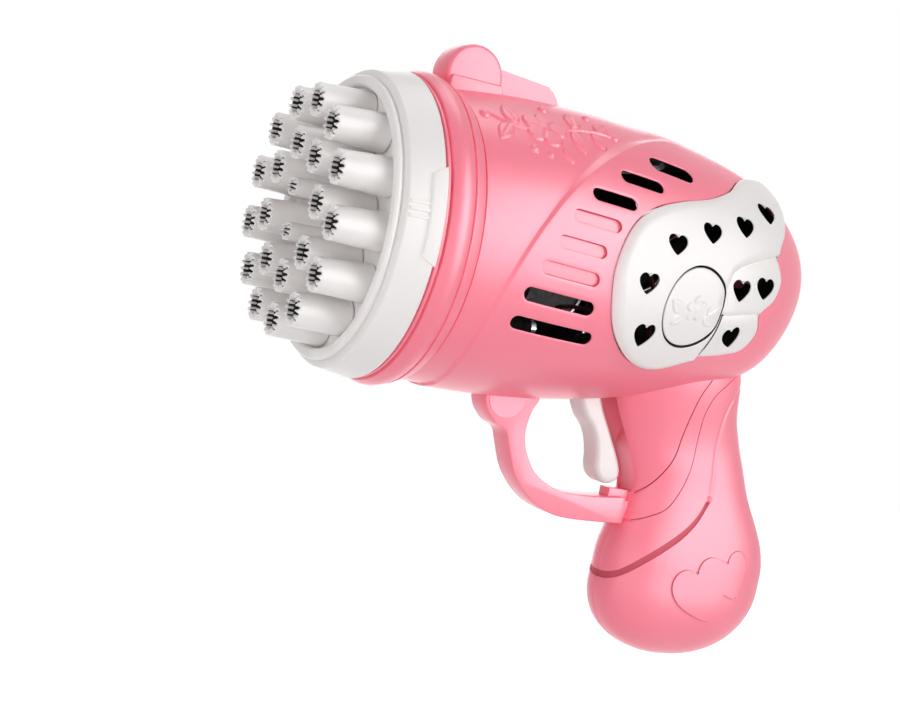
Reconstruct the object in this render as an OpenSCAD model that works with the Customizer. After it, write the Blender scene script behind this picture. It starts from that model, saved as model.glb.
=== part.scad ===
// Hand-held bubble blower: a fan inside a pistol-shaped housing blows air
// through a ring of ribbed tubes that are dipped in soap solution.
// The barrel runs along X with the nozzle towards -X, and Z is up.
// The origin is the middle of the hand grip, where the hand closes.

/* [Nozzle] */
// Diameter of the collar at its rear edge
collar_d = 98; // [97:0.5:100]
// Length of the tapered band of the collar
band_len = 10.5; // [9:0.5:13]
// Drop from the front of the band to the lip
lip_step = 2.4; // [1.5:0.1:3]
// Wall of the lip around the nozzle plate
lip_wall = 1.5; // [1.2:0.1:2]
// How far the lip stands in front of the nozzle plate
lip_len = 3.5; // [2.5:0.1:5]
// Thickness of the nozzle plate
plate_t = 2.5; // [2:0.1:4]
// Width of the ledge that holds the nozzle plate
plate_ledge = 1.7; // [1.2:0.1:2.2]
// Height of the tab on the rear edge of the collar
tab_h = 0.7; // [0.4:0.1:1.2]
// Length of each bubble tube
tube_len = 18.5; // [14:0.5:24]
// Outside diameter of a tube where it meets the plate
tube_base_d = 12.2; // [11.2:0.1:12.4]
// Outside diameter of a tube at its mouth
tube_tip_d = 10.6; // [10.2:0.1:11]
// Diameter of a tube's bore between the ribs
tube_bore_d = 8.8; // [8:0.1:9.2]
// Clear diameter inside the ribs of a tube
tube_core_d = 6.1; // [5.9:0.1:7]
// Number of ribs inside each tube
tube_ribs = 14; // [10:1:16]
// Distance of the outer ring of tubes from the collar's rear edge, across the barrel
ring_in = 14.6; // [14.2:0.1:15.4]
// Distance between the outer and the inner ring of tubes
ring_step = 13.6; // [13.3:0.1:14]
// Room along its ring for each tube
tube_room = 16; // [15:0.1:24]
// Distance between the two tubes in the middle
core_pitch = 14; // [12.8:0.1:15]
// Diameter of the air jet behind each tube
jet_d = 3.2; // [2:0.1:3.8]

/* [Bezel] */
// How far the bezel ring stands proud of the collar
bezel_proud = 1.3; // [0.8:0.1:2.5]
// Length of the bezel ring
bezel_len = 14.2; // [12:0.1:18]
// Gap at the seams before and behind the bezel
seam_gap = 0.4; // [0.2:0.1:0.8]

/* [Body] */
// How far the body's widest part stands proud of the collar
body_proud = 0.3; // [0:0.1:1]
// Length of the body behind the bezel
body_len = 149.5; // [146:0.5:156]
// Wall of the housing
wall = 2; // [1.6:0.1:2.4]
// Height of the raised rear panel over the front of the body
panel_step = 0.8; // [0.4:0.1:1.2]
// Angle by which the body rises towards the rear
body_tilt = 2.5; // [1.5:0.1:3.5]
// Width of each vent slot
slot_w = 3.8; // [2.5:0.1:4.4]
// Angle between neighbouring vent slots
slot_pitch = 10.2; // [8:0.1:11]

/* [Crest] */
// Radius of the rounded hump on top
hump_r = 10; // [8.5:0.1:11.5]
// Height of the hump over the body's widest part
hump_h = 13.1; // [11:0.1:15.5]
// Width of the hump
hump_w = 12; // [10:0.5:18]
// Length of the fin behind the hump
fin_len = 22; // [16:0.5:28]

/* [Wing panels] */
// How far the upper feather stands out of the body
wing_proud = 2.2; // [1.8:0.1:3]
// Step from one feather to the next
feather_step = 0.6; // [0.3:0.1:0.7]
// Width of a heart-shaped vent
heart_w = 6; // [4.5:0.1:7]
// Diameter of the round badge
badge_d = 26; // [22:0.5:27]
// Height of the relief on the badge
relief_h = 0.7; // [0.3:0.1:1.2]

/* [Grip] */
// Depth of the grip at the neck, front to back
neck_depth = 50; // [48.5:0.5:53]
// Depth of the grip at the bulb, front to back
bulb_depth = 66.4; // [63:0.5:72]
// Thickness of the grip at the neck
neck_w = 31; // [30:0.5:36]
// Thickness of the grip at the bulb
bulb_w = 36; // [33:0.5:42]
// Room in the grip below the battery cells
grip_below = 12.5; // [10.5:0.5:18.5]

/* [Trigger] */
// Length of the trigger from its pivot to its tip
trigger_len = 42.6; // [38:0.1:43]
// Thickness of the trigger
trigger_w = 10; // [8:0.5:12]
// Diameter of the trigger's pivot pin
pin_d = 3; // [2:0.1:4]
// Thickness of the trigger guard
guard_w = 11; // [8:0.5:16]
// Height of the guard's lower arm
guard_t = 8; // [6:0.1:9]
// Outside diameter of the trigger's return spring
spring_d = 6; // [5:0.1:7]
// Wire diameter of the trigger's return spring
spring_wire = 0.9; // [0.6:0.1:1]

/* [Fan] */
// Diameter of the impeller
fan_d = 56; // [50:0.5:57]
// Running gap between the impeller and its duct
fan_gap = 0.9; // [0.5:0.1:1.2]
// Number of impeller blades
fan_blades = 7; // [5:1:9]
// Diameter of the motor
motor_d = 24; // [20:0.5:26]
// Length of the motor
motor_len = 30.5; // [25:0.5:36]
// Diameter of the motor's shaft
shaft_d = 2; // [1.5:0.1:3]

/* [Power] */
// Diameter of a battery cell
cell_d = 14.5; // [13.5:0.1:14.6]
// Length of a battery cell
cell_len = 50.5; // [44:0.5:51]
// Outside diameter of a wire
wire_d = 1.5; // [1:0.1:2]

/* [Fasteners] */
// Shank diameter of the housing screws
screw_d = 2.4; // [2:0.1:2.6]
// Head diameter of the housing screws
screw_head_d = 5; // [4:0.1:5.4]

/* [Hidden] */

pink = "#f58ea2";
white = "#f2eeec";
grey = "#55565a";
steel = "#b9bcc0";

$fn = 64;
round_fn = 96;
// Radial gap of a fixed fit, and of a pin or shaft that turns
fit = 0.1;
running = 0.05;
// Clear distance kept between pieces that move past each other
clear = 0.4;
// Thickness used where a cut has to pass right through
past = 60;

// The hand grip's middle, seen from the barrel axis at the collar's rear edge
hand_x = 134;
hand_drop = 62;

// Nozzle, from the tubes outwards
collar_r = collar_d / 2;
outer_ring_d = collar_d - 2 * ring_in;
inner_ring_d = outer_ring_d - 2 * ring_step;
outer_tubes = floor(PI * outer_ring_d / tube_room);
inner_tubes = floor(PI * inner_ring_d / tube_room);
lip_in_r = outer_ring_d / 2 + tube_base_d / 2 + 0.7;
plate_r = lip_in_r + plate_ledge;
lip_r = plate_r + lip_wall;
band_front_r = lip_r + lip_step;
spigot_r = collar_r - 3;
spigot_len = 6;
inner_phase = 7;
core_phase = 95;

// Body of revolution, measured along its own axis from the seam behind the bezel
body_x = 2 * seam_gap + bezel_len;
body_r0 = collar_r + body_proud;
// Heights that follow the body's girth were drawn at this radius
drawn_r = 49.3;
girth = body_r0 / drawn_r;
function on_girth(points) = [for (p = points) [p[0], p[1] * girth]];
arc_u = 33;
arc_r = 318;
rear_u = 90;
dome_u = 67;
dome_len = body_len - dome_u;
// The raised rear panel ends in an arc that sweeps down the side
sweep_u = 85;
sweep_z = -36;
sweep_r = 78;

function arc_drop(u) = arc_r - sqrt(arc_r * arc_r - (u - arc_u) * (u - arc_u));
function front_r(u) = body_r0 - arc_drop(u);
function dome_r(off) = (front_r(rear_u) + off)
    / sqrt(1 - pow((rear_u - dome_u) / (dome_len + off), 2));
function body_r(u, off = 0) = u < rear_u ? front_r(u) + off
    : dome_r(off) * sqrt(max(0, 1 - pow((u - dome_u) / (dome_len + off), 2)));
function body_profile(off, start) = let (
        first = asin((rear_u - dome_u) / (dome_len + off)),
        steps = 10)
    concat(
        [[0, start], [body_r(0, off), start]],
        start < 0 ? [[body_r(0, off), 0]] : [],
        [for (u = [10:10:rear_u - 10]) [body_r(u, off), u]],
        [for (i = [0:steps]) let (a = first + (90 - first) * i / steps)
            [i == steps ? 0 : dome_r(off) * cos(a), dome_u + (dome_len + off) * sin(a)]]);

inner_off = -panel_step - wall;

// Grip: a superellipse whose centre leans back and whose depth swells to a bulb
neck_x = 117.4;
lean = 23.2;
lean_top = 15;
lean_h = 75;
toe = 2.4;
toe_top = 96;
flare_top = 66;
flare_h = 32;
bulb_round = 26;
grip_power = 2.4;
grip_top = -24;
// The cells' upper end, and the grip's lowest point below the barrel axis
pack_z = -67;
grip_drop = cell_len + grip_below - pack_z;
bulb_z = -grip_drop + bulb_round;
function smooth(t) = let (c = min(max(t, 0), 1)) c * c * (3 - 2 * c);
function swell(z) = smooth((-z - flare_top) / flare_h);
function grip_x(z) = neck_x + lean * smooth((-z - lean_top) / lean_h)
    - toe * smooth((-z - toe_top) / (grip_drop - toe_top));
function grip_half(z) = (neck_depth + (bulb_depth - neck_depth) * swell(z)) / 2;
function grip_half_w(z) = (neck_w + (bulb_w - neck_w) * swell(z)) / 2;
// The bulb's rounded end narrows the grip to a point
function grip_end(z, inset) = z > bulb_z ? 1
    : sqrt(max(0, 1 - pow((bulb_z - z) / (bulb_round - inset), 2)));
// Half thickness of the grip at a point of its side outline, inset by a wall
function grip_y(x, z, inset) = let (k = max(grip_end(z, inset), 0.01)) k * (grip_half_w(z) - inset)
    * pow(max(0, 1 - pow(abs(x - grip_x(z)) / k / (grip_half(z) - inset), grip_power)), 1 / grip_power);
function sgn_pow(v, e) = sign(v) * pow(abs(v), e);
grip_sides = 36;
function grip_ring(z, inset, k) = [for (i = [0:grip_sides - 1]) let (a = 360 * i / grip_sides)
    [grip_x(z) + (grip_half(z) - inset) * k * sgn_pow(cos(a), 2 / grip_power),
     (grip_half_w(z) - inset) * k * sgn_pow(sin(a), 2 / grip_power), z]];
function grip_rings(inset) = concat(
    [for (z = [grip_top + 3 * inset:-8:bulb_z + 2]) grip_ring(z, inset, 1)],
    [for (a = [0:14:84]) grip_ring(bulb_z - (bulb_round - inset) * sin(a), inset, cos(a))]);

// Trigger, in the plane of the barrel
pivot_x = 85;
pivot_z = -33;
trigger_lean = 22;
trigger_turn = 6.5;
hub_r = pin_d / 2 + 2;
arm_reach = 11;
push_h = 7.5;
switch_h = 12.8;
switch_t = 5.8;
switch_depth = 6.5;
push_face = 2;
plunger_len = 3;
switch_x = pivot_x - push_face - clear - plunger_len;
switch_z = pivot_z + push_h;
spring_x = pivot_x + arm_reach;
spring_z0 = pivot_z + hub_r - 0.2;
spring_len = 11;
spring_turns = 6;
seat_t = 2.5;

// Trigger guard
guard_low = -85.4;
guard_front = 48;

// Fan stack, along the body's axis
bulkhead_u = 7;
bulkhead_t = 2.5;
bulkhead_rib = 1.6;
duct_wall = 1.6;
duct_r = fan_d / 2 + fan_gap;
bracket_u = 29;
bracket_t = 2.5;
fan_u = 13;
hub_len = 11;
fan_hub_r = 8;
blade_chord = 15;
blade_t = 1.4;
blade_turn = 55;
motor_u = bracket_u + 1;
clamp_len = 12;
clamp_wall = 2.5;
post_ring_r = duct_r + duct_wall + 4.5;
post_r = 2.8;

// Battery pack, standing along the grip
pack_tilt = -5.7;
pack_x = 135.8;
cell_pitch = cell_d + 0.4;
cell_count = 3;
nub_d = 5.5;
nub_len = 1.2;
contact_t = 0.5;
tray_t = 1.1;
door_gap = 0.3;
door_half = 20;
door_above = 11;
door_below = 1.5;

// Screws that hold the two housing halves together: [x, z] on the barrel's plane
boss_in = 11.3;
boss_z = body_r0 - boss_in;
body_bosses = [[36, boss_z], [36, -boss_z], [98, boss_z], [148, 6]];
grip_bosses = [[146, -50], [141, -grip_drop + 6.2]];
boss_r = 3.2;
screw_seat = 4;
screw_grip = 8;
head_h = 2;
counterbore_r = screw_head_d / 2 + 0.3;
outer_boss_r = counterbore_r + 1.3;

function catmull(p0, p1, p2, p3, t) = 0.5 * (2 * p1 + (p2 - p0) * t
    + (2 * p0 - 5 * p1 + 4 * p2 - p3) * t * t + (3 * p1 - p0 - 3 * p2 + p3) * t * t * t);
// A closed smooth outline through its corner points
function closed_curve(p, steps) = let (n = len(p)) [for (i = [0:n - 1], j = [0:steps - 1])
    catmull(p[(i + n - 1) % n], p[i], p[(i + 1) % n], p[(i + 2) % n], j / steps)];
// An open smooth line through its points, ends included
function open_curve(p, steps) = let (n = len(p)) concat(
    [for (i = [0:n - 2], j = [0:steps - 1])
        catmull(p[max(i - 1, 0)], p[i], p[i + 1], p[min(i + 2, n - 1)], j / steps)],
    [p[n - 1]]);

// Triangles that close a stack of equal rings
function ring_faces(count, sides) = concat(
    [for (r = [0:count - 2], i = [0:sides - 1]) let (j = (i + 1) % sides)
        [r * sides + i, r * sides + j, (r + 1) * sides + j]],
    [for (r = [0:count - 2], i = [0:sides - 1]) let (j = (i + 1) % sides)
        [r * sides + i, (r + 1) * sides + j, (r + 1) * sides + i]]);

function unit(v) = v / norm(v);
// Rings of a round tube along a path of points
function tube_ring(path, i, r, sides) = let (
        n = len(path),
        d = unit(path[min(i + 1, n - 1)] - path[max(i - 1, 0)]),
        side = unit(cross(d, abs(d[1]) < 0.8 ? [0, 1, 0] : [1, 0, 0])),
        up = cross(side, d))
    [for (k = [0:sides - 1]) let (a = 360 * k / sides) path[i] + r * (cos(a) * side + sin(a) * up)];

// A solid through a stack of equal rings
module lofted(rings) {
    sides = len(rings[0]);
    points = [for (ring = rings) each ring];
    last = len(points) - sides;
    polyhedron(points, concat(
        ring_faces(len(rings), sides),
        [[for (k = [0:sides - 1]) sides - 1 - k]],
        [[for (k = [0:sides - 1]) last + k]]), convexity = 10);
}

module swept_tube(path, r, sides) {
    lofted([for (i = [0:len(path) - 1]) tube_ring(path, i, r, sides)]);
}

// Moves from the barrel's own frame to the frame of the hand grip
module in_hand() {
    translate([-hand_x, 0, hand_drop]) children();
}

module body_frame() {
    translate([body_x, 0, 0]) rotate([0, -body_tilt, 0]) children();
}

// Turns a [radius, length] outline round the X axis
module turned() {
    rotate([0, 90, 0]) rotate_extrude($fn = round_fn) children();
}

// A cylinder along X from one place to another
module rod_x(r, from, to) {
    translate([from, 0, 0]) rotate([0, 90, 0]) cylinder(r = r, h = to - from);
}

// A cylinder along Y from one place to another
module rod_y(r, from, to) {
    translate([0, to, 0]) rotate([90, 0, 0]) cylinder(r = r, h = to - from);
}

// An outline in the barrel's plane, made as thick as asked along Y
module side_plate(from, to) {
    translate([0, to, 0]) rotate([90, 0, 0]) linear_extrude(to - from) children();
}

module body_solid(off, start = 0) {
    body_frame() turned() polygon(body_profile(off, start));
}

// The body starts square to the barrel, just behind the bezel
body_front_x = body_x - 0.2;
front_start = -4;
module body_outside() {
    difference() {
        union() {
            body_solid(-panel_step, front_start);
            intersection() {
                body_solid(0, front_start);
                body_frame() side_plate(-past, past)
                    translate([sweep_u, sweep_z]) circle(r = sweep_r, $fn = round_fn);
            }
        }
        rod_x(body_r0 + 5, body_front_x - 20, body_front_x);
    }
}

module grip_solid(inset) {
    lofted(grip_rings(inset));
}

module heart(w) {
    lobe = w * 0.27;
    translate([0, w * 0.12]) {
        for (s = [-1, 1]) translate([s * (w / 2 - lobe), 0]) circle(r = lobe);
        polygon([[-w / 2 + lobe * 0.11, -lobe * 0.46], [0, -w * 0.66],
            [w / 2 - lobe * 0.11, -lobe * 0.46], [0, lobe * 0.6]]);
    }
}

// Vent slots on one side: start and length along the body, top slot first
slot_top = 41.6;
slot_starts = [63, 49, 37, 29, 24, 19, 15.5, 13.5];
slot_lengths = [15, 15, 16, 17, 19, 23, 28, 33];
blind_slots = [3, 4, 5];
blind_depth = 1;

module slot_cut(k) {
    start = slot_starts[k];
    length = slot_lengths[k];
    blind = len(search(k, blind_slots)) > 0;
    depth = blind ? blind_depth : panel_step + wall + 3;
    floor_r = body_r(start + length / 2) - depth;
    rotate([-(slot_top - slot_pitch * k), 0, 0])
        side_plate(-floor_r - depth - 4, -floor_r)
            translate([start, 0]) {
                translate([slot_w / 2, -slot_w / 2]) square([length - slot_w, slot_w]);
                for (x = [slot_w / 2, length - slot_w / 2]) translate([x, 0]) circle(d = slot_w);
            }
}

// Wing panel outline on the side of the body: [along the axis, height]
wing_points = [
    [105, 33.4], [119, 33], [125.5, 26.5], [122.5, 17.5], [117, 9.5], [119.8, 1.2],
    [117, -6], [111.5, -10.8], [113.2, -17], [109.5, -23.4], [101, -26.3], [89, -28.4],
    [76, -32.6], [66.5, -32.4], [57, -27.6], [49.5, -19], [45.8, -6], [47.4, 4.5],
    [52.5, 13], [61, 18.6], [72, 21.8], [84, 24.2], [95, 28.2]
];
hearts = [
    [67.8, 7.7], [82.7, 13], [97.5, 16.8], [111.5, 22.4], [58.3, -5.6],
    [62.4, -21.9], [98.5, -3.2], [110.3, -1.4], [100.4, -19.5]
];
badge_at = [78.6, -11.2];
badge_gap = 0.3;
// Lines where one feather overlaps the next
feather_two = [[90, -40], [92.7, -14], [92.6, 2.4], [102.3, 5.6], [112, 8.2], [140, 12], [140, -40]];
feather_three = [[89.2, -40], [89.2, -28.2], [92, -20], [93, -13], [102, -11.8], [140, -9], [140, -40]];

// A patch that hugs the body between two heights over its surface
module body_patch(low, high) {
    body_frame() intersection() {
        difference() {
            turned() polygon(body_profile(high, 0));
            turned() polygon(body_profile(low, 0));
        }
        side_plate(-past, 0) children();
    }
}

module wing_panel() {
    difference() {
        body_patch(fit, wing_proud) difference() {
            polygon(closed_curve(on_girth(wing_points), 4));
            translate(badge_at) circle(d = badge_d + 2 * badge_gap);
            for (h = on_girth(hearts)) translate(h) heart(heart_w);
        }
        body_patch(wing_proud - feather_step, wing_proud + 3) polygon(on_girth(feather_two));
        body_patch(wing_proud - 2 * feather_step, wing_proud + 3) polygon(on_girth(feather_three));
    }
}

// A five-petalled blossom between two leaves
petals = 5;
module badge_relief() {
    circle(d = badge_d * 0.1);
    for (i = [0:petals - 1]) rotate(90 + 360 * i / petals)
        translate([badge_d * 0.15, 0]) circle(d = badge_d * 0.16);
    for (s = [-1, 1]) translate([s * badge_d * 0.33, -badge_d * 0.03])
        rotate(-s * 28) scale(badge_d / 26) intersection() {
            translate([2.2, 0]) circle(r = 4.2);
            translate([-2.2, 0]) circle(r = 4.2);
        }
}

module wing_badge() {
    body_patch(fit, wing_proud - 0.1) translate(badge_at) circle(d = badge_d);
    body_patch(wing_proud - 0.2, wing_proud - 0.1 + relief_h) translate(badge_at) badge_relief();
}

module half_space(side) {
    translate([-50, side > 0 ? 0 : -past * 2, -past * 3]) cube([past * 5, past * 2, past * 5]);
}

// Ribs inside the body that hold the fan's bulkhead by its rim
module bulkhead_ribs() {
    body_frame() difference() {
        rod_x(body_r(bulkhead_u) - panel_step - wall / 2,
            bulkhead_u - bulkhead_rib, bulkhead_u + bulkhead_t + bulkhead_rib);
        rod_x(body_r(bulkhead_u, inner_off) - bulkhead_rib, bulkhead_u - 5, bulkhead_u + 10);
        rod_x(body_r(bulkhead_u, inner_off), bulkhead_u - fit, bulkhead_u + bulkhead_t + fit);
    }
}

module housing_shell(side) {
    intersection() {
        union() {
            difference() {
                union() {
                    body_outside();
                    grip_solid(0);
                }
                body_solid(inner_off, front_start - 2);
                grip_solid(wall);
            }
            difference() {
                rod_x(spigot_r, spigot_len + 1, body_x + 3.2);
                rod_x(spigot_r - wall, spigot_len, body_x + 5);
            }
            bulkhead_ribs();
        }
        half_space(side);
    }
}

// Slots, and the holes behind the hearts of the wing panel
module body_vents() {
    body_frame() {
        for (k = [0:len(slot_starts) - 1]) slot_cut(k);
        for (h = on_girth(hearts)) at_plane(h) rod_y(heart_w * 0.7, -past, -14);
    }
}

// Where a post on the inside of the grip ends, in the middle of the wall
function grip_boss_end(p) = min([for (a = [0:45:315])
    grip_y(p[0] + outer_boss_r * cos(a), p[1] + outer_boss_r * sin(a), wall / 2)]);
all_bosses = concat(body_bosses, grip_bosses);

module at_plane(p) {
    translate([p[0], 0, p[1]]) children();
}

// Ends posts in the middle of the body's wall
module in_wall() {
    intersection() {
        union() children();
        body_solid(-panel_step - wall / 3);
    }
}

// Screw posts of one half, ending inside the wall
module screw_posts(side, r) {
    mirror([0, side > 0 ? 0 : 1, 0]) {
        in_wall() for (p = body_bosses) at_plane(p) rod_y(r, 0, past);
        for (p = grip_bosses) at_plane(p) rod_y(r, 0, grip_boss_end(p));
    }
}

// The opening in the belly that the trigger swings in
trigger_slot_x = [pivot_x - hub_r - 1, pivot_x + 11.5];
module trigger_slot() {
    translate([trigger_slot_x[0], -trigger_w / 2 - clear, -past])
        cube([trigger_slot_x[1] - trigger_slot_x[0], trigger_w + 2 * clear, past + pivot_z - hub_r - 1]);
}

pin_reach = 6;
pivot_boss_r = pin_d / 2 + 2;
module pivot_boss(side) {
    inner = trigger_w / 2 + clear;
    mirror([0, side > 0 ? 0 : 1, 0]) at_plane([pivot_x, pivot_z])
        difference() {
            rod_y(pivot_boss_r, inner, past);
            rod_y(pin_d / 2 + running, inner - 1, inner + pin_reach + fit);
        }
}

switch_pins = [switch_z + 3.1, switch_z - 3.1];
switch_mid_x = switch_x - switch_depth / 2;
switch_pin_r = 0.95;

// Door seen from the side, in the pack's own frame
module door_outline(grow) {
    r = 4;
    w = door_half + grow;
    top = door_above + grow;
    low = -cell_len - door_below - grow;
    translate([-w + r, low]) square([2 * (w - r), top - low]);
    translate([-w, low + r]) square([2 * w, top - low - 2 * r]);
    for (x = [-w + r, w - r], z = [low + r, top - r]) translate([x, z]) circle(r = r);
}

module pack_frame() {
    translate([pack_x, 0, pack_z]) rotate([0, pack_tilt, 0]) children();
}

// The door's screw sits above the cells
door_screw_z = 7.2;
door_screw_at = [pack_x + door_screw_z * sin(pack_tilt), pack_z + door_screw_z * cos(pack_tilt)];
door_face = grip_y(door_screw_at[0], door_screw_at[1], 0);
door_pad_r = 4;
door_pad = 3.8;
door_head_h = 1.4;
door_seat = door_face - door_head_h - 0.6;
door_post_end = door_face - door_pad - door_gap;

module housing_left() color(pink) in_hand() {
    difference() {
        union() {
            difference() {
                housing_shell(-1);
                body_vents();
            }
            screw_posts(-1, boss_r);
            in_wall() {
                pivot_boss(-1);
                for (z = switch_pins) at_plane([switch_mid_x, z]) {
                    rod_y(2.2, -past, -switch_t / 2);
                    rod_y(switch_pin_r, -switch_t / 2 - 1, switch_t / 2);
                }
                translate([spring_x - 4, -past, spring_z0 + spring_len])
                    cube([8, past + spring_d / 2 + 0.5, seat_t]);
            }
            at_plane(door_screw_at)
                rod_y(boss_r, -grip_y(door_screw_at[0], door_screw_at[1], wall / 2), door_post_end);
        }
        for (p = all_bosses) at_plane(p) rod_y(screw_d / 2 + running, -screw_grip - 2, 1);
        at_plane(door_screw_at) rod_y(screw_d / 2 + running, door_post_end - screw_grip, door_post_end + 1);
        trigger_slot();
    }
}

module housing_right() color(pink) in_hand() {
    difference() {
        union() {
            difference() {
                housing_shell(1);
                mirror([0, 1, 0]) body_vents();
            }
            screw_posts(1, outer_boss_r);
            in_wall() pivot_boss(1);
        }
        for (p = all_bosses) at_plane(p) {
            rod_y(screw_d / 2 + clear / 2, -1, screw_seat + 1);
            rod_y(counterbore_r, screw_seat, past);
        }
        trigger_slot();
        pack_frame() side_plate(4, past) door_outline(door_gap);
    }
}

// Bezel outline: a small first ring, a rounded bulge and a slope to the seam
bulge_u = 6;
bulge_half = 4.2;
bezel_r = collar_r + bezel_proud;
bezel_in_r = spigot_r + fit;
bezel_rear_r = body_r0 - arc_drop(0) + 0.2;
function bezel_outside(off) = concat(
    [[bezel_r - 1.9 + off, seam_gap], [bezel_r - 1.1 + off, 1.2], [bezel_r - 1.1 + off, 1.8]],
    [for (i = [-4:4]) [bezel_r - 0.85 * (1 - cos(90 * i / 4)) + off, bulge_u + bulge_half * i / 4 * 0.96]],
    [[bezel_r - 1.05 + off, bulge_u + bulge_half + 0.2], [bezel_rear_r + off, bezel_len + seam_gap]]);

module front_bezel() color(pink) in_hand() turned()
    polygon(concat([[bezel_in_r, seam_gap]], bezel_outside(0), [[bezel_in_r, bezel_len + seam_gap]]));

// Collar outline: tapered band, groove, lip and the ledge for the plate
function collar_profile() = let (
        bore = plate_r + fit,
        lip_x = -band_len - lip_len)
    concat(
        [[bore, spigot_len], [spigot_r, spigot_len], [spigot_r, 0], [collar_r - 0.3, 0],
         [collar_r, -0.3], [band_front_r + 0.4, -band_len + 0.7], [band_front_r - 0.5, -band_len],
         [lip_r, -band_len]],
        [for (i = [0:4]) let (a = 90 * i / 4)
            [lip_r - 1.1 + 1.1 * cos(a), lip_x + 1.1 - 1.1 * sin(a)]],
        [[lip_in_r + 0.9, lip_x], [lip_in_r, lip_x + 0.9], [lip_in_r, -band_len],
         [bore, -band_len]]);

// Angle that a width covers on the collar
function collar_angle(w) = w / collar_r * 180 / PI;
tab_len = 29;
tab_w = 4.2;
tab_mid = 5;
rib_pitch = 2.1;
rib_w = 1.1;
function band_r(x) = collar_r + (band_front_r + 0.4 - collar_r) * x / (-band_len + 0.7);

module nozzle_collar() color(white) in_hand() {
    turned() polygon(collar_profile());
    for (side = [-1, 1]) scale([1, -side, 1]) {
        // Tab with sloping ends on the rear edge
        intersection() {
            turned() polygon([[collar_r - 1.4, -0.2], [collar_r + tab_h, -0.2],
                [band_r(-tab_w) + tab_h, -tab_w], [collar_r - 1.4, -tab_w]]);
            rotate([tab_mid, 0, 0]) side_plate(-past, 0) polygon([[0, tab_len / 2],
                [-tab_w, tab_len / 2 - 2.6], [-tab_w, -tab_len / 2 + 2.6], [0, -tab_len / 2]]);
        }
        // Three fine ribs across the band
        intersection() {
            turned() polygon([[collar_r - 2, -tab_w - 0.5], [band_r(-tab_w - 0.5) + 0.35, -tab_w - 0.5],
                [band_front_r + 0.75, -band_len + 0.7], [band_front_r - 0.5, -band_len + 0.7]]);
            rotate([tab_mid - 1, 0, 0]) side_plate(-past, 0) for (k = [-1:1])
                translate([-band_len, k * rib_pitch - rib_w / 2]) square([band_len, rib_w]);
        }
    }
}

// Centres of the tubes: [y, z] across the barrel
tube_places = concat(
    [for (i = [0:outer_tubes - 1]) let (a = 360 * i / outer_tubes - 5) outer_ring_d / 2 * [-cos(a), sin(a)]],
    [for (i = [0:inner_tubes - 1]) let (a = 360 * i / inner_tubes + inner_phase)
        inner_ring_d / 2 * [-cos(a), sin(a)]],
    [for (i = [0:1]) let (a = core_phase + 180 * i) core_pitch / 2 * [-cos(a), sin(a)]]);

module nozzle_plate() color(white) in_hand() difference() {
    rod_x(plate_r, -band_len, -band_len + plate_t);
    for (p = tube_places) translate([0, p[0], p[1]]) rod_x(jet_d / 2, -band_len - 1, -band_len + plate_t + 1);
}

// Ribbed bore of a tube: a ring of grooves around a clear core
groove_share = 0.6;
function bore_outline() = [for (i = [0:tube_ribs - 1], e = [-1, 1], s = [0, 1]) let (
        outer = e < 0 ? s == 1 : s == 0,
        r = outer ? tube_bore_d / 2 : tube_core_d / 2,
        half = 180 / tube_ribs * (outer ? groove_share * 0.86 : groove_share),
        a = 360 * i / tube_ribs + e * half)
    r * [cos(a), sin(a)]];

module bubble_tubes() color(white) in_hand()
    for (p = tube_places) translate([-band_len, p[0], p[1]]) rotate([0, -90, 0]) difference() {
        cylinder(d1 = tube_base_d, d2 = tube_tip_d, h = tube_len);
        translate([0, 0, -1]) linear_extrude(tube_len + 2) polygon(bore_outline());
    }

// Crest: a rounded hump and a lower fin, cut to sit on the body
hump_x = 23.6;
hump_top = body_r0 + hump_h;
fin_top = body_r0 + 7;
fin_drop = 1.4;
module top_crest() color(pink) in_hand() difference() {
    union() {
        side_plate(-hump_w / 2, hump_w / 2) {
            translate([hump_x, hump_top - hump_r]) circle(r = hump_r);
            translate([hump_x - hump_r, hump_top - hump_r - 12]) square([2 * hump_r, 12]);
        }
        side_plate(-hump_w / 2 + 0.6, hump_w / 2 - 0.6) {
            end = hump_x + hump_r + fin_len;
            top = fin_top - fin_drop;
            polygon([[hump_x, fin_top + 0.9], [end - 6.3, top], [end - 4.4, top - 0.5], [end - 2.6, top - 1.6],
                [end - 1.2, top - 3.2], [end, top - 5.2], [end, hump_top - hump_r - 12],
                [hump_x, hump_top - hump_r - 12]]);
        }
        side_plate(-hump_w / 2 - 1.6, hump_w / 2 + 1.6)
            translate([hump_x - hump_r + 1, hump_top - hump_r - 12]) square([2 * hump_r - 1, 10.8]);
    }
    body_solid(fit);
    turned() polygon(concat([[0, 0]], bezel_outside(fit), [[bezel_rear_r + fit, body_x + 2], [0, body_x + 2]]));
}

module wing_panel_left() color(white) in_hand() wing_panel();
module wing_panel_right() color(white) in_hand() mirror([0, 1, 0]) wing_panel();
module wing_badge_left() color(white) in_hand() wing_badge();
module wing_badge_right() color(white) in_hand() mirror([0, 1, 0]) wing_badge();

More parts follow.
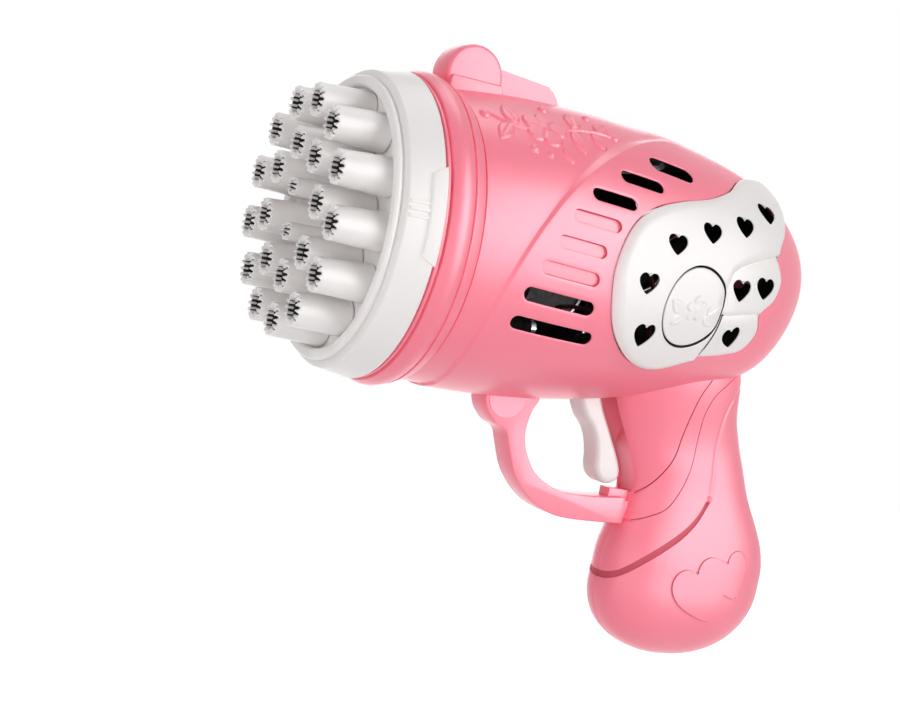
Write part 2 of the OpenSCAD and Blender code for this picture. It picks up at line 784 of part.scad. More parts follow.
// Guard outline: a foot under the body, a curved leg and a straight arm to the grip
guard_outer = open_curve([[guard_front, 9.3 - body_r0], [guard_front + 0.6, -0.7 - body_r0], [guard_front + 5, -6.5 - body_r0],
    [guard_front + 10, -9.1 - body_r0], [guard_front + 12, -63], [guard_front + 16, -72], [guard_front + 22.4, -78.9],
    [guard_front + 30, -83.2], [guard_front + 40, guard_low], [guard_front + 70, guard_low]], 4);
guard_inner = open_curve([[guard_front + 70, guard_low + guard_t], [guard_front + 46, guard_low + guard_t],
    [guard_front + 34, guard_low + guard_t + 1.2], [guard_front + 25.2, -71.6], [guard_front + 20, -65.4],
    [guard_front + 17.8, -59], [guard_front + 18.4, -2.7 - body_r0], [guard_front + 21, 3.3 - body_r0],
    [guard_front + 22, 9.3 - body_r0]], 4);
stop_h = 4;
stop_x = 105.5;
boss_disc_at = [guard_front + 12, 0.7 - body_r0];
boss_disc_r = 6.4;

module trigger_guard() color(pink) in_hand() difference() {
    union() {
        side_plate(-guard_w / 2, guard_w / 2) polygon(concat(guard_outer, guard_inner));
        side_plate(-guard_w / 2 + 2, guard_w / 2 - 2)
            translate([stop_x, guard_low + guard_t - 1]) square([14, stop_h + 1]);
        at_plane(boss_disc_at) rod_y(boss_disc_r, -guard_w / 2 - 0.4, guard_w / 2 + 0.4);
    }
    body_solid(fit);
    grip_solid(-fit);
}

// Trigger outline in its own frame: [towards the finger, down the blade], as shares of its length
blade = [[3.2, 0.1], [3.1, 0.26], [2.4, 0.4], [0.6, 0.5], [0.1, 0.61], [0.7, 0.73], [2, 0.83], [1.5, 0.92],
    [-0.6, 0.985], [-3.4, 1], [-5.8, 0.96], [-6.4, 0.85], [-5, 0.62], [-3.2, 0.36], [-2.8, 0.1]];
module trigger() color(white) in_hand() translate([pivot_x, 0, pivot_z]) difference() {
    union() {
        rod_y(hub_r, -trigger_w / 2, trigger_w / 2);
        rotate([0, -trigger_lean, 0]) side_plate(-trigger_w / 2, trigger_w / 2)
            polygon([for (p = closed_curve(blade, 3)) [-p[0], -p[1] * trigger_len]]);
        // Arm under the return spring
        side_plate(-spring_d / 2 - 0.5, spring_d / 2 + 0.5)
            translate([0, hub_r - 3.5]) square([arm_reach + spring_d / 2 + 0.5, 3]);
        // Finger that presses the switch
        side_plate(-switch_t / 2, switch_t / 2)
            translate([-push_face, 0]) square([2 * push_face, push_h + 2]);
    }
    rod_y(pin_d / 2 + running, -trigger_w, trigger_w);
}

module trigger_pin() color(steel) in_hand() at_plane([pivot_x, pivot_z])
    rod_y(pin_d / 2, -trigger_w / 2 - clear - pin_reach, trigger_w / 2 + clear + pin_reach);

// Return spring: one helix between the trigger's arm and its seat
spring_steps = 8;
spring_gap = 0.15;
spring_path = let (
        n = spring_turns * spring_steps,
        r = (spring_d - spring_wire) / 2,
        low = spring_z0 - 0.3 + spring_wire / 2 + spring_gap,
        high = spring_z0 + spring_len - spring_wire / 2 - spring_gap)
    [for (i = [0:n]) let (a = 360 * i / spring_steps)
        [spring_x + r * cos(a), r * sin(a), low + (high - low) * i / n]];
spring_pitch = (spring_len - spring_wire - 2 * spring_gap) / spring_turns;
echo(spring_coil_gap = spring_pitch - spring_wire);
module trigger_spring() color(steel) in_hand() swept_tube(spring_path, spring_wire / 2, 6);

plunger_w = 3;
module switch_body() color(grey) in_hand() difference() {
    translate([switch_x - switch_depth, -switch_t / 2, switch_z - switch_h / 2])
        cube([switch_depth, switch_t, switch_h]);
    for (z = switch_pins) at_plane([switch_mid_x, z])
        rod_y(switch_pin_r + running, -switch_t, switch_t);
    translate([switch_x - plunger_len - 0.5, -plunger_w / 2 - fit, switch_z - plunger_w / 4 - fit])
        cube([plunger_len + 1, plunger_w + 2 * fit, plunger_w / 2 + 2 * fit]);
}

module switch_plunger() color(white) in_hand()
    translate([switch_x - plunger_len + 1.5, -plunger_w / 2, switch_z - plunger_w / 4])
        cube([2 * plunger_len - 1.5, plunger_w, plunger_w / 2]);

post_angles = [45, 135, 225, 315];
module posts(r, from, to) {
    for (a = post_angles) rotate([a, 0, 0]) translate([0, 0, post_ring_r]) rod_x(r, from, to);
}

module fan_bulkhead() color(grey) in_hand() body_frame() difference() {
    union() {
        rod_x(body_r(bulkhead_u, inner_off) - fit, bulkhead_u, bulkhead_u + bulkhead_t);
        rod_x(duct_r + duct_wall, bulkhead_u, bracket_u);
        posts(post_r, bulkhead_u + 1, bracket_u);
    }
    rod_x(duct_r, bulkhead_u - 1, bracket_u + 1);
    posts(screw_d / 2 + running, bracket_u - screw_grip, bracket_u + 1);
}

module motor_bracket() color(grey) in_hand() body_frame() difference() {
    union() {
        rod_x(motor_d / 2 + clamp_wall, bracket_u, bracket_u + clamp_len);
        for (a = post_angles) rotate([a, 0, 0]) translate([bracket_u, -3, motor_d / 2 + 1])
            cube([bracket_t, 6, post_ring_r - motor_d / 2 - 1]);
        posts(post_r + 0.4, bracket_u, bracket_u + bracket_t);
    }
    rod_x(motor_d / 2 + running, motor_u, bracket_u + clamp_len + 1);
    rod_x(motor_d / 4, bracket_u - 1, motor_u + 1);
    posts(screw_d / 2 + fit, bracket_u - 1, bracket_u + bracket_t + 1);
}

terminal_r = 0.8;
module motor() color(steel) in_hand() body_frame() difference() {
    union() {
        rod_x(motor_d / 2, motor_u, motor_u + motor_len);
        rod_x(motor_d / 2 - 4, motor_u + motor_len - 1, motor_u + motor_len + 2);
        for (s = [-1, 1]) translate([0, s * motor_d / 4, 0])
            rod_x(terminal_r, motor_u + motor_len, motor_u + motor_len + 5);
    }
    rod_x(shaft_d / 2 + running, motor_u - 1, motor_u + 8);
}

module motor_shaft() color(steel) in_hand() body_frame()
    rod_x(shaft_d / 2, fan_u + 1, motor_u + 7.5);

module impeller() color(white) in_hand() body_frame() difference() {
    union() {
        rod_x(fan_hub_r, fan_u, fan_u + hub_len);
        intersection() {
            rod_x(fan_d / 2, fan_u, fan_u + hub_len);
            for (i = [0:fan_blades - 1]) rotate([360 * i / fan_blades, 0, 0])
                translate([fan_u + hub_len / 2, 0, fan_hub_r - 1.5]) rotate([0, 0, blade_turn])
                    translate([-blade_chord / 2, -blade_t / 2, 0]) cube([blade_chord, blade_t, fan_d / 2]);
        }
    }
    rod_x(shaft_d / 2 + 0.02, fan_u - 1, fan_u + hub_len + 1);
}

// Cells stand side by side, the middle one turned over
module each_cell() {
    for (i = [0:cell_count - 1]) translate([(i - (cell_count - 1) / 2) * cell_pitch, 0, 0])
        translate([0, 0, -cell_len / 2]) mirror([0, 0, i % 2]) translate([0, 0, cell_len / 2]) children();
}

module battery_cells() color("#3f6fae") in_hand() pack_frame() each_cell() {
    translate([0, 0, -cell_len]) cylinder(d = cell_d, h = cell_len - nub_len);
    translate([0, 0, -nub_len - 0.5]) cylinder(d = nub_d, h = nub_len + 0.5);
}

contact_w = 10;
module battery_contacts() color(steel) in_hand() pack_frame() each_cell() {
    for (z = [fit, -cell_len - fit - contact_t])
        translate([-contact_w / 2, -contact_w / 2, z]) cube([contact_w, contact_w, contact_t]);
}

module battery_tray() color(grey) in_hand() intersection() {
    grip_solid(wall + 0.3);
    pack_frame() {
        end = fit + contact_t + fit;
        back = cell_d / 2 + 0.3;
        for (z = [end, -cell_len - end - tray_t])
            translate([-door_half - 6, -back - tray_t, z]) cube([2 * door_half + 12, 2 * back + tray_t, tray_t]);
        translate([-door_half - 6, -back - tray_t, -cell_len - end - tray_t])
            cube([2 * door_half + 12, tray_t, cell_len + 2 * end + 2 * tray_t]);
    }
}

module battery_door() color(pink) in_hand() difference() {
    union() {
        intersection() {
            difference() {
                grip_solid(0);
                grip_solid(wall);
            }
            pack_frame() side_plate(4, past) door_outline(0);
        }
        at_plane(door_screw_at) rod_y(door_pad_r, door_face - door_pad, door_face - wall / 2);
    }
    at_plane(door_screw_at) {
        rod_y(screw_d / 2 + fit, 0, past);
        rod_y(screw_head_d / 2 + fit, door_seat, past);
    }
}

module screw(seat, length, head = head_h) {
    rod_y(screw_d / 2, seat - length, seat + 0.5);
    difference() {
        rod_y(screw_head_d / 2, seat, seat + head);
        for (a = [0, 90]) rotate([0, a, 0])
            translate([-1.6, seat + head / 2, -0.35]) cube([3.2, head, 0.7]);
    }
}

module door_screw() color(steel) in_hand() at_plane(door_screw_at)
    screw(door_seat + fit, door_seat - door_post_end + screw_grip - 1, door_head_h);

module housing_screws() color(steel) in_hand()
    for (p = all_bosses) at_plane(p) screw(screw_seat + fit, screw_seat + screw_grip);

module bracket_screws() color(steel) in_hand() body_frame() for (a = post_angles)
    rotate([a, 0, 0]) translate([bracket_u + bracket_t, 0, post_ring_r]) rotate([0, 0, -90])
        screw(fit, bracket_t + screw_grip - 2);

// Wires, along points chosen by hand on the barrel's plane: [x, y, z]
wire_routes = [
    [[122, -6, -63], [120, -7, -58], [114, -9, -48], [108, -10, -38], [104, -11, -26], [100.5, -12, -9],
     [90, -11, -2], [84, -9, 3], [82.4, -6.5, 5.5]],
    [[146, -5, -62], [142, -7, -57], [134, -10, -48], [122, -12, -36], [110, -14, -22], [100, -15, -6],
     [94, -12, 10], [88, -4, 16], [85, 3, 13], [82.4, 6.5, 6]],
    [[127, 5, -63], [124, 7, -58], [117, 9, -48], [108, 10, -38], [100, 11, -20], [90, 10, -14],
     [76, 6, -15], [73, 2, -17], [72, 0, -19]]
];
module wiring() color("#c23b3b") in_hand()
    for (route = wire_routes) swept_tube(open_curve(route, 2), wire_d / 2, 8);

housing_left();
housing_right();
front_bezel();
nozzle_collar();
nozzle_plate();
bubble_tubes();
top_crest();
wing_panel_left();
wing_panel_right();
wing_badge_left();
wing_badge_right();
trigger_guard();
trigger();
trigger_pin();
trigger_spring();
switch_body();
switch_plunger();
fan_bulkhead();
motor_bracket();
motor();
motor_shaft();
impeller();
battery_tray();
battery_cells();
battery_contacts();
battery_door();
door_screw();
housing_screws();
bracket_screws();
wiring();
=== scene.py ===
# %% [markdown]
# # A bubble blower
# This lesson dresses a packed mechanical model of a hand-held bubble blower: a
# pink moulded housing, a white nozzle full of small tubes, white feathered vent
# panels, a trigger and its guard. The mechanical model gives every place and every
# joint, so it is loaded first and never moved. Each cell below makes one piece.

# %% Load the fixed frame
import bpy
import math
import numpy as np
from mathutils import Matrix, Vector


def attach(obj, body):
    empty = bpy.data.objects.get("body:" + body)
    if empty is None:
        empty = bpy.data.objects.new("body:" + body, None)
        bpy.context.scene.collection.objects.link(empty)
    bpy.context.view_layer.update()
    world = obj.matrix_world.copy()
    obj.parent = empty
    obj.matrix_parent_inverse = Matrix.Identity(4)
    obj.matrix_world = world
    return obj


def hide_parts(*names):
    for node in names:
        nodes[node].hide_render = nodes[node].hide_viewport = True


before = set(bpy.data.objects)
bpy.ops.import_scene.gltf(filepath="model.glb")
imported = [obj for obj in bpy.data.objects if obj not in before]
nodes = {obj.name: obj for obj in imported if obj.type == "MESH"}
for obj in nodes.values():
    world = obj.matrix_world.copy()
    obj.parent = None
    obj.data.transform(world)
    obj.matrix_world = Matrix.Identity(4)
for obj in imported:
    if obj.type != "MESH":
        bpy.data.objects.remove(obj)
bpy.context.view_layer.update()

# %% [markdown]
# ## Where things are
# The maker's drawing of a blower starts at the nozzle: x runs back along the
# barrel, y is left and right, z is up, all in millimetres. The part itself is held
# by its grip, so one fixed shift takes the drawing to the part's own frame. The
# body leans back by a small angle and has its own length u along its axis.

# %% From the drawing to the part's frame
MM = 0.001
GRIP_SHIFT = (-134.0, 0.0, 62.0)
BODY_START = 15.0
BODY_LEAN = math.radians(2.5)


def in_hand(x, y, z):
    spot = np.stack(np.broadcast_arrays(x, y, z), axis=-1).astype(float)
    return (spot + np.array(GRIP_SHIFT)) * MM


def in_body(u, y, z):
    x = BODY_START + u * math.cos(BODY_LEAN) - z * math.sin(BODY_LEAN)
    return in_hand(x, y, u * math.sin(BODY_LEAN) + z * math.cos(BODY_LEAN))


def along_body(x, z):
    u = (x - BODY_START) * math.cos(BODY_LEAN) + z * math.sin(BODY_LEAN)
    return u, -(x - BODY_START) * math.sin(BODY_LEAN) + z * math.cos(BODY_LEAN)


print("the body leans by", round(math.degrees(BODY_LEAN), 1), "degrees")

# %% [markdown]
# ## Curves and distances
# Moulded relief is easiest to think of as height over a plain surface: a step
# rises where we cross a line, a feather swells as we move in from its edge. For
# that we need smooth outlines through a few given points, and the distance
# of any spot to an outline. A ramp turns a distance into a soft edge.

# %% Helpers for curves and distances
def ramp(t):
    c = np.clip(t, 0.0, 1.0)
    return c * c * (3.0 - 2.0 * c)


def curve(points, steps, closed=True):
    p = np.array(points, float)
    if closed:
        a, b, c, d = np.roll(p, 1, 0), p, np.roll(p, -1, 0), np.roll(p, -2, 0)
    else:
        long = np.vstack([2 * p[0] - p[1], p, 2 * p[-1] - p[-2]])
        a, b, c, d = long[:-3], long[1:-2], long[2:-1], long[3:]
    rows = []
    for t in np.arange(steps) / steps:
        rows.append(0.5 * (2 * b + (c - a) * t + (2 * a - 5 * b + 4 * c - d) * t ** 2
                           + (3 * b - a - 3 * c + d) * t ** 3))
    line = np.stack(rows, axis=1).reshape(-1, p.shape[1])
    return line if closed else np.vstack([line, p[-1]])


def from_line(x, y, line, reach=4.0):
    x, y = np.broadcast_arrays(np.asarray(x, float), np.asarray(y, float))
    best = np.full(x.shape, reach)
    for (ax, ay), (bx, by) in zip(line[:-1], line[1:]):
        near = (x > min(ax, bx) - reach) & (x < max(ax, bx) + reach)
        near &= (y > min(ay, by) - reach) & (y < max(ay, by) + reach)
        px, py = x[near] - ax, y[near] - ay
        ex, ey = bx - ax, by - ay
        t = np.clip((px * ex + py * ey) / (ex * ex + ey * ey + 1e-12), 0, 1)
        best[near] = np.minimum(best[near], np.hypot(px - t * ex, py - t * ey))
    return best


def inside(x, y, outline, reach=4.0):
    x, y = np.broadcast_arrays(np.asarray(x, float), np.asarray(y, float))
    low, high = outline.min(0) - reach, outline.max(0) + reach
    near = (x > low[0]) & (x < high[0]) & (y > low[1]) & (y < high[1])
    px, py = x[near], y[near]
    ring = np.vstack([outline, outline[:1]])
    odd = np.zeros(px.shape, bool)
    for (ax, ay), (bx, by) in zip(ring[:-1], ring[1:]):
        if ay != by:
            odd ^= ((ay > py) != (by > py)) & (px < (bx - ax) * (py - ay) / (by - ay) + ax)
    result = np.full(x.shape, -reach)
    result[near] = np.where(odd, 1.0, -1.0) * from_line(px, py, ring, reach)
    return result


# %% Helpers for outlines
def outward(outline):
    run = np.roll(outline, -1, 0) - np.roll(outline, 1, 0)
    turn = np.stack([run[:, 1], -run[:, 0]], axis=1)
    turn /= np.linalg.norm(turn, axis=1)[:, None] + 1e-12
    nxt = np.roll(outline, -1, 0)
    area = np.sum(outline[:, 0] * nxt[:, 1] - nxt[:, 0] * outline[:, 1])
    return turn * np.sign(area)


def ring_line(mid, r, count):
    a = 2 * np.pi * np.arange(count) / count
    return np.stack([mid[0] + r * np.cos(a), mid[1] + r * np.sin(a)], axis=1)


def even_steps(corners, step):
    line = []
    for a, b in zip(corners, corners[1:] + corners[:1]):
        cuts = max(1, int(math.dist(a, b) / step))
        line += [(a[0] + (b[0] - a[0]) * i / cuts, a[1] + (b[1] - a[1]) * i / cuts) for i in range(cuts)]
    return np.array(line)


def leaned(line, lean, at):
    c, n = math.cos(lean), math.sin(lean)
    x = at[0] + line[:, 0] * c - line[:, 1] * n
    return np.stack([x, at[1] + line[:, 0] * n + line[:, 1] * c], axis=1)


# %% [markdown]
# ## From numbers to meshes
# A moulded shell is a grid of points, like graph paper pressed over a form. A cut
# edge needs cleaner points than the grid has, so a narrow band follows each
# outline and carries the rounded lip and the wall of the hole. Both become meshes,
# and `join` makes one piece of them. A piece may have a second, darker finish that
# is painted shade: `shade_rows` gives it to some rows of a band, such as a groove's wall.

# %% Helpers for meshes
def deselect():
    bpy.ops.object.select_all(action="DESELECT")


def new_piece(name, points, faces, edges=()):
    mesh = bpy.data.meshes.new(name)
    mesh.from_pydata(np.asarray(points).reshape(-1, 3).tolist(), list(edges), faces)
    mesh.update()
    piece = bpy.data.objects.new(name, mesh)
    bpy.context.scene.collection.objects.link(piece)
    return piece


def use(piece):
    deselect()
    piece.select_set(True)
    bpy.context.view_layer.objects.active = piece


def middles(grid):
    return (grid[1:, 1:] + grid[:-1, :-1]) / 2


def sheet(name, spots, keep=None, flip=False):
    m, n = spots.shape[:2]
    i, j = np.meshgrid(np.arange(m - 1), np.arange(n - 1), indexing="ij")
    corner = i * n + j
    quads = np.stack([corner, corner + 1, corner + n + 1, corner + n], axis=-1)
    quads = quads.reshape(-1, 4) if keep is None else quads[keep]
    if flip:
        quads = quads[:, ::-1]
    used, packed = np.unique(quads, return_inverse=True)
    faces = packed.reshape(-1, 4).tolist()
    return new_piece(name, spots.reshape(-1, 3)[used], faces)


def band(name, rings, flip=False, fill=False):
    count = len(rings[0])
    faces = []
    for k in range(len(rings) - 1):
        for i in range(count):
            j = (i + 1) % count
            faces.append([k * count + i, k * count + j, (k + 1) * count + j, (k + 1) * count + i])
    if fill:
        faces.append([(len(rings) - 1) * count + i for i in range(count)])
    if flip:
        faces = [f[::-1] for f in faces]
    return new_piece(name, np.array(rings), faces)


def join(name, parts):
    use(parts[0])
    for part in parts:
        part.select_set(True)
    bpy.ops.object.join()
    piece = bpy.context.view_layer.objects.active
    piece.name = name
    piece.data.name = name
    return piece


# %% Helpers for edit mode and smooth shading
MERGE_GAP = 1e-6


def start_edit(piece):
    use(piece)
    bpy.ops.object.mode_set(mode="EDIT")
    bpy.ops.mesh.select_all(action="SELECT")


def end_edit():
    bpy.ops.object.mode_set(mode="OBJECT")


def merge_close(piece):
    start_edit(piece)
    bpy.ops.mesh.remove_doubles(threshold=MERGE_GAP)
    end_edit()


def face_outwards(piece):
    start_edit(piece)
    bpy.ops.mesh.normals_make_consistent(inside=False)
    end_edit()


def smooth_all(piece):
    use(piece)
    bpy.ops.object.shade_smooth()


def smooth_soft_edges(piece, degrees):
    use(piece)
    bpy.ops.object.shade_smooth_by_angle(angle=math.radians(degrees))


# %% Helpers for finishes and bodies
def paint(piece, *finishes):
    piece.data.materials.clear()
    for finish in finishes:
        piece.data.materials.append(finish)


# the listed rows get the second finish, a darker colour of painted shade
def shade_rows(piece, count, rows):
    for face in piece.data.polygons:
        face.material_index = 1 if min(face.vertices) // count in rows else 0


def one_piece(name, parts, finishes, corner, shaded=()):
    for part in parts:
        paint(part, *finishes)
    for part, count, rows in shaded:
        shade_rows(part, count, rows)
    piece = join(name, parts)
    merge_close(piece)
    smooth_soft_edges(piece, corner)
    return piece


def finish_piece(piece, finish, body, slot, *replaced):
    if finish:
        paint(piece, finish)
    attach(piece, body)
    if replaced:
        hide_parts(*replaced)
    print(piece.name, "faces:", len(piece.data.polygons))
    return piece


# %% [markdown]
# ## Moulded plastic
# Toy housings are glossy coloured plastic. Close up, the gloss isn't perfect: the
# mould leaves a faint ripple, and the colour drifts a little where the plastic
# flowed. One node group gives all plastics that grain, with its own values in each.
# A thin shell shows its inside through the slots, so the shells' finishes turn dark
# on the back of a face, where no light would reach.

# %% The grain that every moulded finish shares
GRAIN_SOCKETS = {"INPUT": {"Color": ["Colour", "Deeper Colour"],
                           "Float": ["Drift Scale", "Ripple Scale", "Gloss", "Gloss Spread"]},
                 "OUTPUT": {"Color": ["Colour"], "Float": ["Roughness", "Height"]}}


def grain_group():
    group = bpy.data.node_groups.new("moulded_grain", "ShaderNodeTree")
    for way, kinds in GRAIN_SOCKETS.items():
        for kind, names in kinds.items():
            for name in names:
                group.interface.new_socket(name, in_out=way, socket_type="NodeSocket" + kind)
    tree, link = group.nodes, group.links.new
    given = tree.new("NodeGroupInput")
    result = tree.new("NodeGroupOutput")
    place = tree.new("ShaderNodeTexCoord")

    def noise(scale, detail):
        node = tree.new("ShaderNodeTexNoise")
        node.inputs["Detail"].default_value = detail
        link(place.outputs["Object"], node.inputs["Vector"])
        link(given.outputs[scale], node.inputs["Scale"])
        return node

    drift = noise("Drift Scale", 3.0)
    ripple = noise("Ripple Scale", 2.0)
    blend = tree.new("ShaderNodeMix")
    blend.data_type = "RGBA"
    link(drift.outputs["Fac"], blend.inputs["Factor"])
    link(given.outputs["Colour"], blend.inputs["A"])
    link(given.outputs["Deeper Colour"], blend.inputs["B"])
    link(blend.outputs["Result"], result.inputs["Colour"])
    link(ripple.outputs["Fac"], result.inputs["Height"])
    uneven = tree.new("ShaderNodeMath")
    uneven.operation = "MULTIPLY_ADD"
    link(drift.outputs["Fac"], uneven.inputs[0])
    link(given.outputs["Gloss Spread"], uneven.inputs[1])
    link(given.outputs["Gloss"], uneven.inputs[2])
    link(uneven.outputs["Value"], result.inputs["Roughness"])
    return group


grain = grain_group()
print("grain group sockets:", len(grain.interface.items_tree))


# %% One finish from a few numbers
GLOSS_SPREAD = 0.06
RIPPLE_STRENGTH = 0.02
RIPPLE_HIGH = 0.0002


def moulded(name, colour, deeper, gloss, drift=60.0, ripple=700.0, inside=None, **shader):
    finish = bpy.data.materials.new(name)
    finish.use_nodes = True
    tree, link = finish.node_tree.nodes, finish.node_tree.links.new
    surface = tree["Principled BSDF"]
    mix = tree.new("ShaderNodeGroup")
    mix.node_tree = grain
    given = {"Colour": (*colour, 1.0), "Deeper Colour": (*deeper, 1.0), "Drift Scale": drift,
             "Ripple Scale": ripple, "Gloss": gloss, "Gloss Spread": GLOSS_SPREAD}
    for socket, value in given.items():
        mix.inputs[socket].default_value = value
    relief = tree.new("ShaderNodeBump")
    relief.inputs["Strength"].default_value = RIPPLE_STRENGTH
    relief.inputs["Distance"].default_value = RIPPLE_HIGH
    seen = mix.outputs["Colour"]
    if inside:
        facing = tree.new("ShaderNodeNewGeometry")
        either = tree.new("ShaderNodeMix")
        either.data_type = "RGBA"
        either.inputs["B"].default_value = (*inside, 1.0)
        link(facing.outputs["Backfacing"], either.inputs["Factor"])
        link(seen, either.inputs["A"])
        seen = either.outputs["Result"]
    link(seen, surface.inputs["Base Color"])
    link(mix.outputs["Roughness"], surface.inputs["Roughness"])
    link(mix.outputs["Height"], relief.inputs["Height"])
    link(relief.outputs["Normal"], surface.inputs["Normal"])
    for socket, value in shader.items():
        surface.inputs[socket.replace("_", " ")].default_value = value
    return finish


# %% The finishes
PINK = (0.95, 0.225, 0.31)
PINK_DEEPER = (0.92, 0.205, 0.285)
WHITE = (0.89, 0.86, 0.85)
WHITE_DEEPER = (0.86, 0.827, 0.815)
UNLIT = (0.008, 0.007, 0.007)
GLOSSY = {"IOR": 1.46, "Specular_IOR_Level": 0.5}
SATIN = {"IOR": 1.46, "Specular_IOR_Level": 0.2}
pink = moulded("pink_plastic", PINK, PINK_DEEPER, 0.32, **GLOSSY)
pink_shell = moulded("pink_shell", PINK, PINK_DEEPER, 0.32, inside=UNLIT, **GLOSSY)
# painted shade: a deeper pink on the walls and floors of seams, grooves, heart plates and pressed-in slots,
# standing for the shade that falls in them
painted_shade_pink = moulded("painted_shade_pink", (0.58, 0.10, 0.14), (0.54, 0.09, 0.128), 0.5, Specular_IOR_Level=0.1)
white = moulded("white_plastic", WHITE, WHITE_DEEPER, 0.36, **SATIN)
white_shell = moulded("white_shell", WHITE, WHITE_DEEPER, 0.36, inside=UNLIT, **SATIN)
# painted shade: a greyer copy of the white for the trigger, standing for the shade it sits in below the body
# and inside the guard
painted_shade_white = moulded("painted_shade_white", (0.74, 0.71, 0.70), (0.70, 0.67, 0.66), 0.4, IOR=1.46,
                     Specular_IOR_Level=0.3)
# painted shade: a dark brown-grey standing for the shade deep in the tubes and in the narrow gaps round the
# inserts and along the panels' fine line
painted_shade_dark = moulded("painted_shade_bore", (0.06, 0.052, 0.048), (0.04, 0.035, 0.032), 0.3)
# black plastic for the parts inside, made near-black so that what shows through the slots reads as shade:
# partly the parts' own colour, partly painted shade
dark = moulded("dark_plastic", (0.01, 0.0095, 0.01), (0.008, 0.008, 0.008), 0.7, Specular_IOR_Level=0.05)
steel = moulded("steel", (0.62, 0.62, 0.64), (0.54, 0.54, 0.56), 0.28, drift=300.0, ripple=2200.0,
                Metallic=1.0)
motor_can = moulded("motor_can", (0.22, 0.22, 0.23), (0.18, 0.18, 0.19), 0.42, drift=200.0,
                    ripple=1500.0, Metallic=1.0)
cell_wrap = moulded("cell_wrap", (0.06, 0.13, 0.34), (0.05, 0.11, 0.29), 0.3)
wire_rubber = moulded("wire_rubber", (0.10, 0.012, 0.012), (0.08, 0.01, 0.01), 0.6,
                      Specular_IOR_Level=0.2)
print("finishes:", len(bpy.data.materials))

# %% [markdown]
# ## The body's own shape
# The body is a turned shape: nearly straight at the front, a dome at the back. The
# back swells a little more low down, where it runs into the grip. On the skin we
# measure along the body (u) and round it (s, an arc length from the left side), so
# a panel drawn flat keeps its proportions when it is wrapped round.

# %% The plain body surface
WRAP_R = 46.0
DOME_FROM = 90.0
DOME_MID = 67.0
DOME_LEN = 82.5
BODY_R = 49.3
BODY_R_AT = 33.0
SIDE_ARC_R = 318.0
LOW_SWELL = 3.4
TOP_DIP = 0.8
PANEL_RISE = 1.2


def front_radius(u):
    return BODY_R - (SIDE_ARC_R - np.sqrt(SIDE_ARC_R ** 2 - (u - BODY_R_AT) ** 2))


DOME_R = front_radius(DOME_FROM) / math.sqrt(1 - ((DOME_FROM - DOME_MID) / DOME_LEN) ** 2)


def body_radius(u, turn):
    dome = DOME_R * np.sqrt(np.maximum(0, 1 - ((u - DOME_MID) / DOME_LEN) ** 2))
    plain = np.where(u < DOME_FROM, front_radius(np.minimum(u, DOME_FROM)), dome)
    low_swell = LOW_SWELL * np.exp(-((u - 124) / 15) ** 2 - ((turn + 52) / 26) ** 2)
    top_dip = TOP_DIP * np.exp(-((u - 98) / 14) ** 2) * ramp((turn - 25) / 40)
    return plain + (low_swell - top_dip) * np.clip(plain / 12, 0, 1)


def body_z(u, turn):
    return body_radius(u, turn) * np.sin(np.radians(turn))


def wrap(points):
    p = np.array(points, float)
    share = p[:, 1] / (body_radius(p[:, 0], 0 * p[:, 0]) + PANEL_RISE)
    turn = np.arcsin(np.clip(share, -0.95, 0.95))
    return np.stack([p[:, 0], WRAP_R * turn], axis=1)


def on_body(u, s, height, side):
    turn = s / WRAP_R
    r = body_radius(u, np.degrees(turn)) + height
    return in_body(u, side * r * np.cos(turn), r * np.sin(turn))


print("body radius at the front, middle and back:", body_radius(np.array([0.0, 60.0, 140.0]), 0.0).round(1))

# %% [markdown]
# ## Relief on the body
# A sloped crease runs across the body: behind it the housing stands a little
# higher. It is narrow below and wide on top. In front of it, up on the shoulder,
# sits a raised spray of leaves, beads and a blossom. Both are heights added to the
# plain surface, which is how a mould maker would cut them.

# %% The crease
CREASE_MID = (85.0, -36.0)
CREASE_R = 78.0
CREASE_ENDS = (187.0, 92.0)
CREASE_MARGIN = 0.9
CREASE_REACH = 6.0
CREASE_DEEP = 0.8
CREASE_DEEPER = 0.9


def crease_wide(turn):
    return 1.2 + 1.7 * ramp((turn - 10) / 45)


def crease_low(u, turn, into):
    deeper = CREASE_DEEPER * ramp((turn - 18) / 40) * np.exp(np.minimum(into, 0) / 16)
    fade = 1 - ramp((u - 66) / 20)
    return -(CREASE_DEEP + deeper) * fade


def crease_into(u, z):
    return CREASE_R - np.hypot(u - CREASE_MID[0], z - CREASE_MID[1])


def crease_line():
    t = np.radians(np.linspace(*CREASE_ENDS, 160))
    u, z = CREASE_MID[0] + CREASE_R * np.cos(t), CREASE_MID[1] + CREASE_R * np.sin(t)
    turn = np.zeros(u.shape)
    for _ in range(6):
        turn = np.arcsin(np.clip(z / body_radius(u, np.degrees(turn)), -0.99, 0.99))
    return np.stack([u, WRAP_R * turn], axis=1)


CREASE_LINE = crease_line()


def crease_far(u, turn):
    far = from_line(u, WRAP_R * np.radians(turn), CREASE_LINE, CREASE_REACH)
    return np.where(crease_into(u, body_z(u, turn)) > 0, far, -far)


def crease(u, turn):
    low = crease_low(u, turn, crease_into(u, body_z(u, turn)))
    return low * np.clip(-crease_far(u, turn) / crease_wide(turn), 0, 1)


print("crease points:", len(CREASE_LINE))


# %% Leaves, beads and a blossom
def plateau(inner, high, soft=0.3):
    return high * ramp(inner / soft)


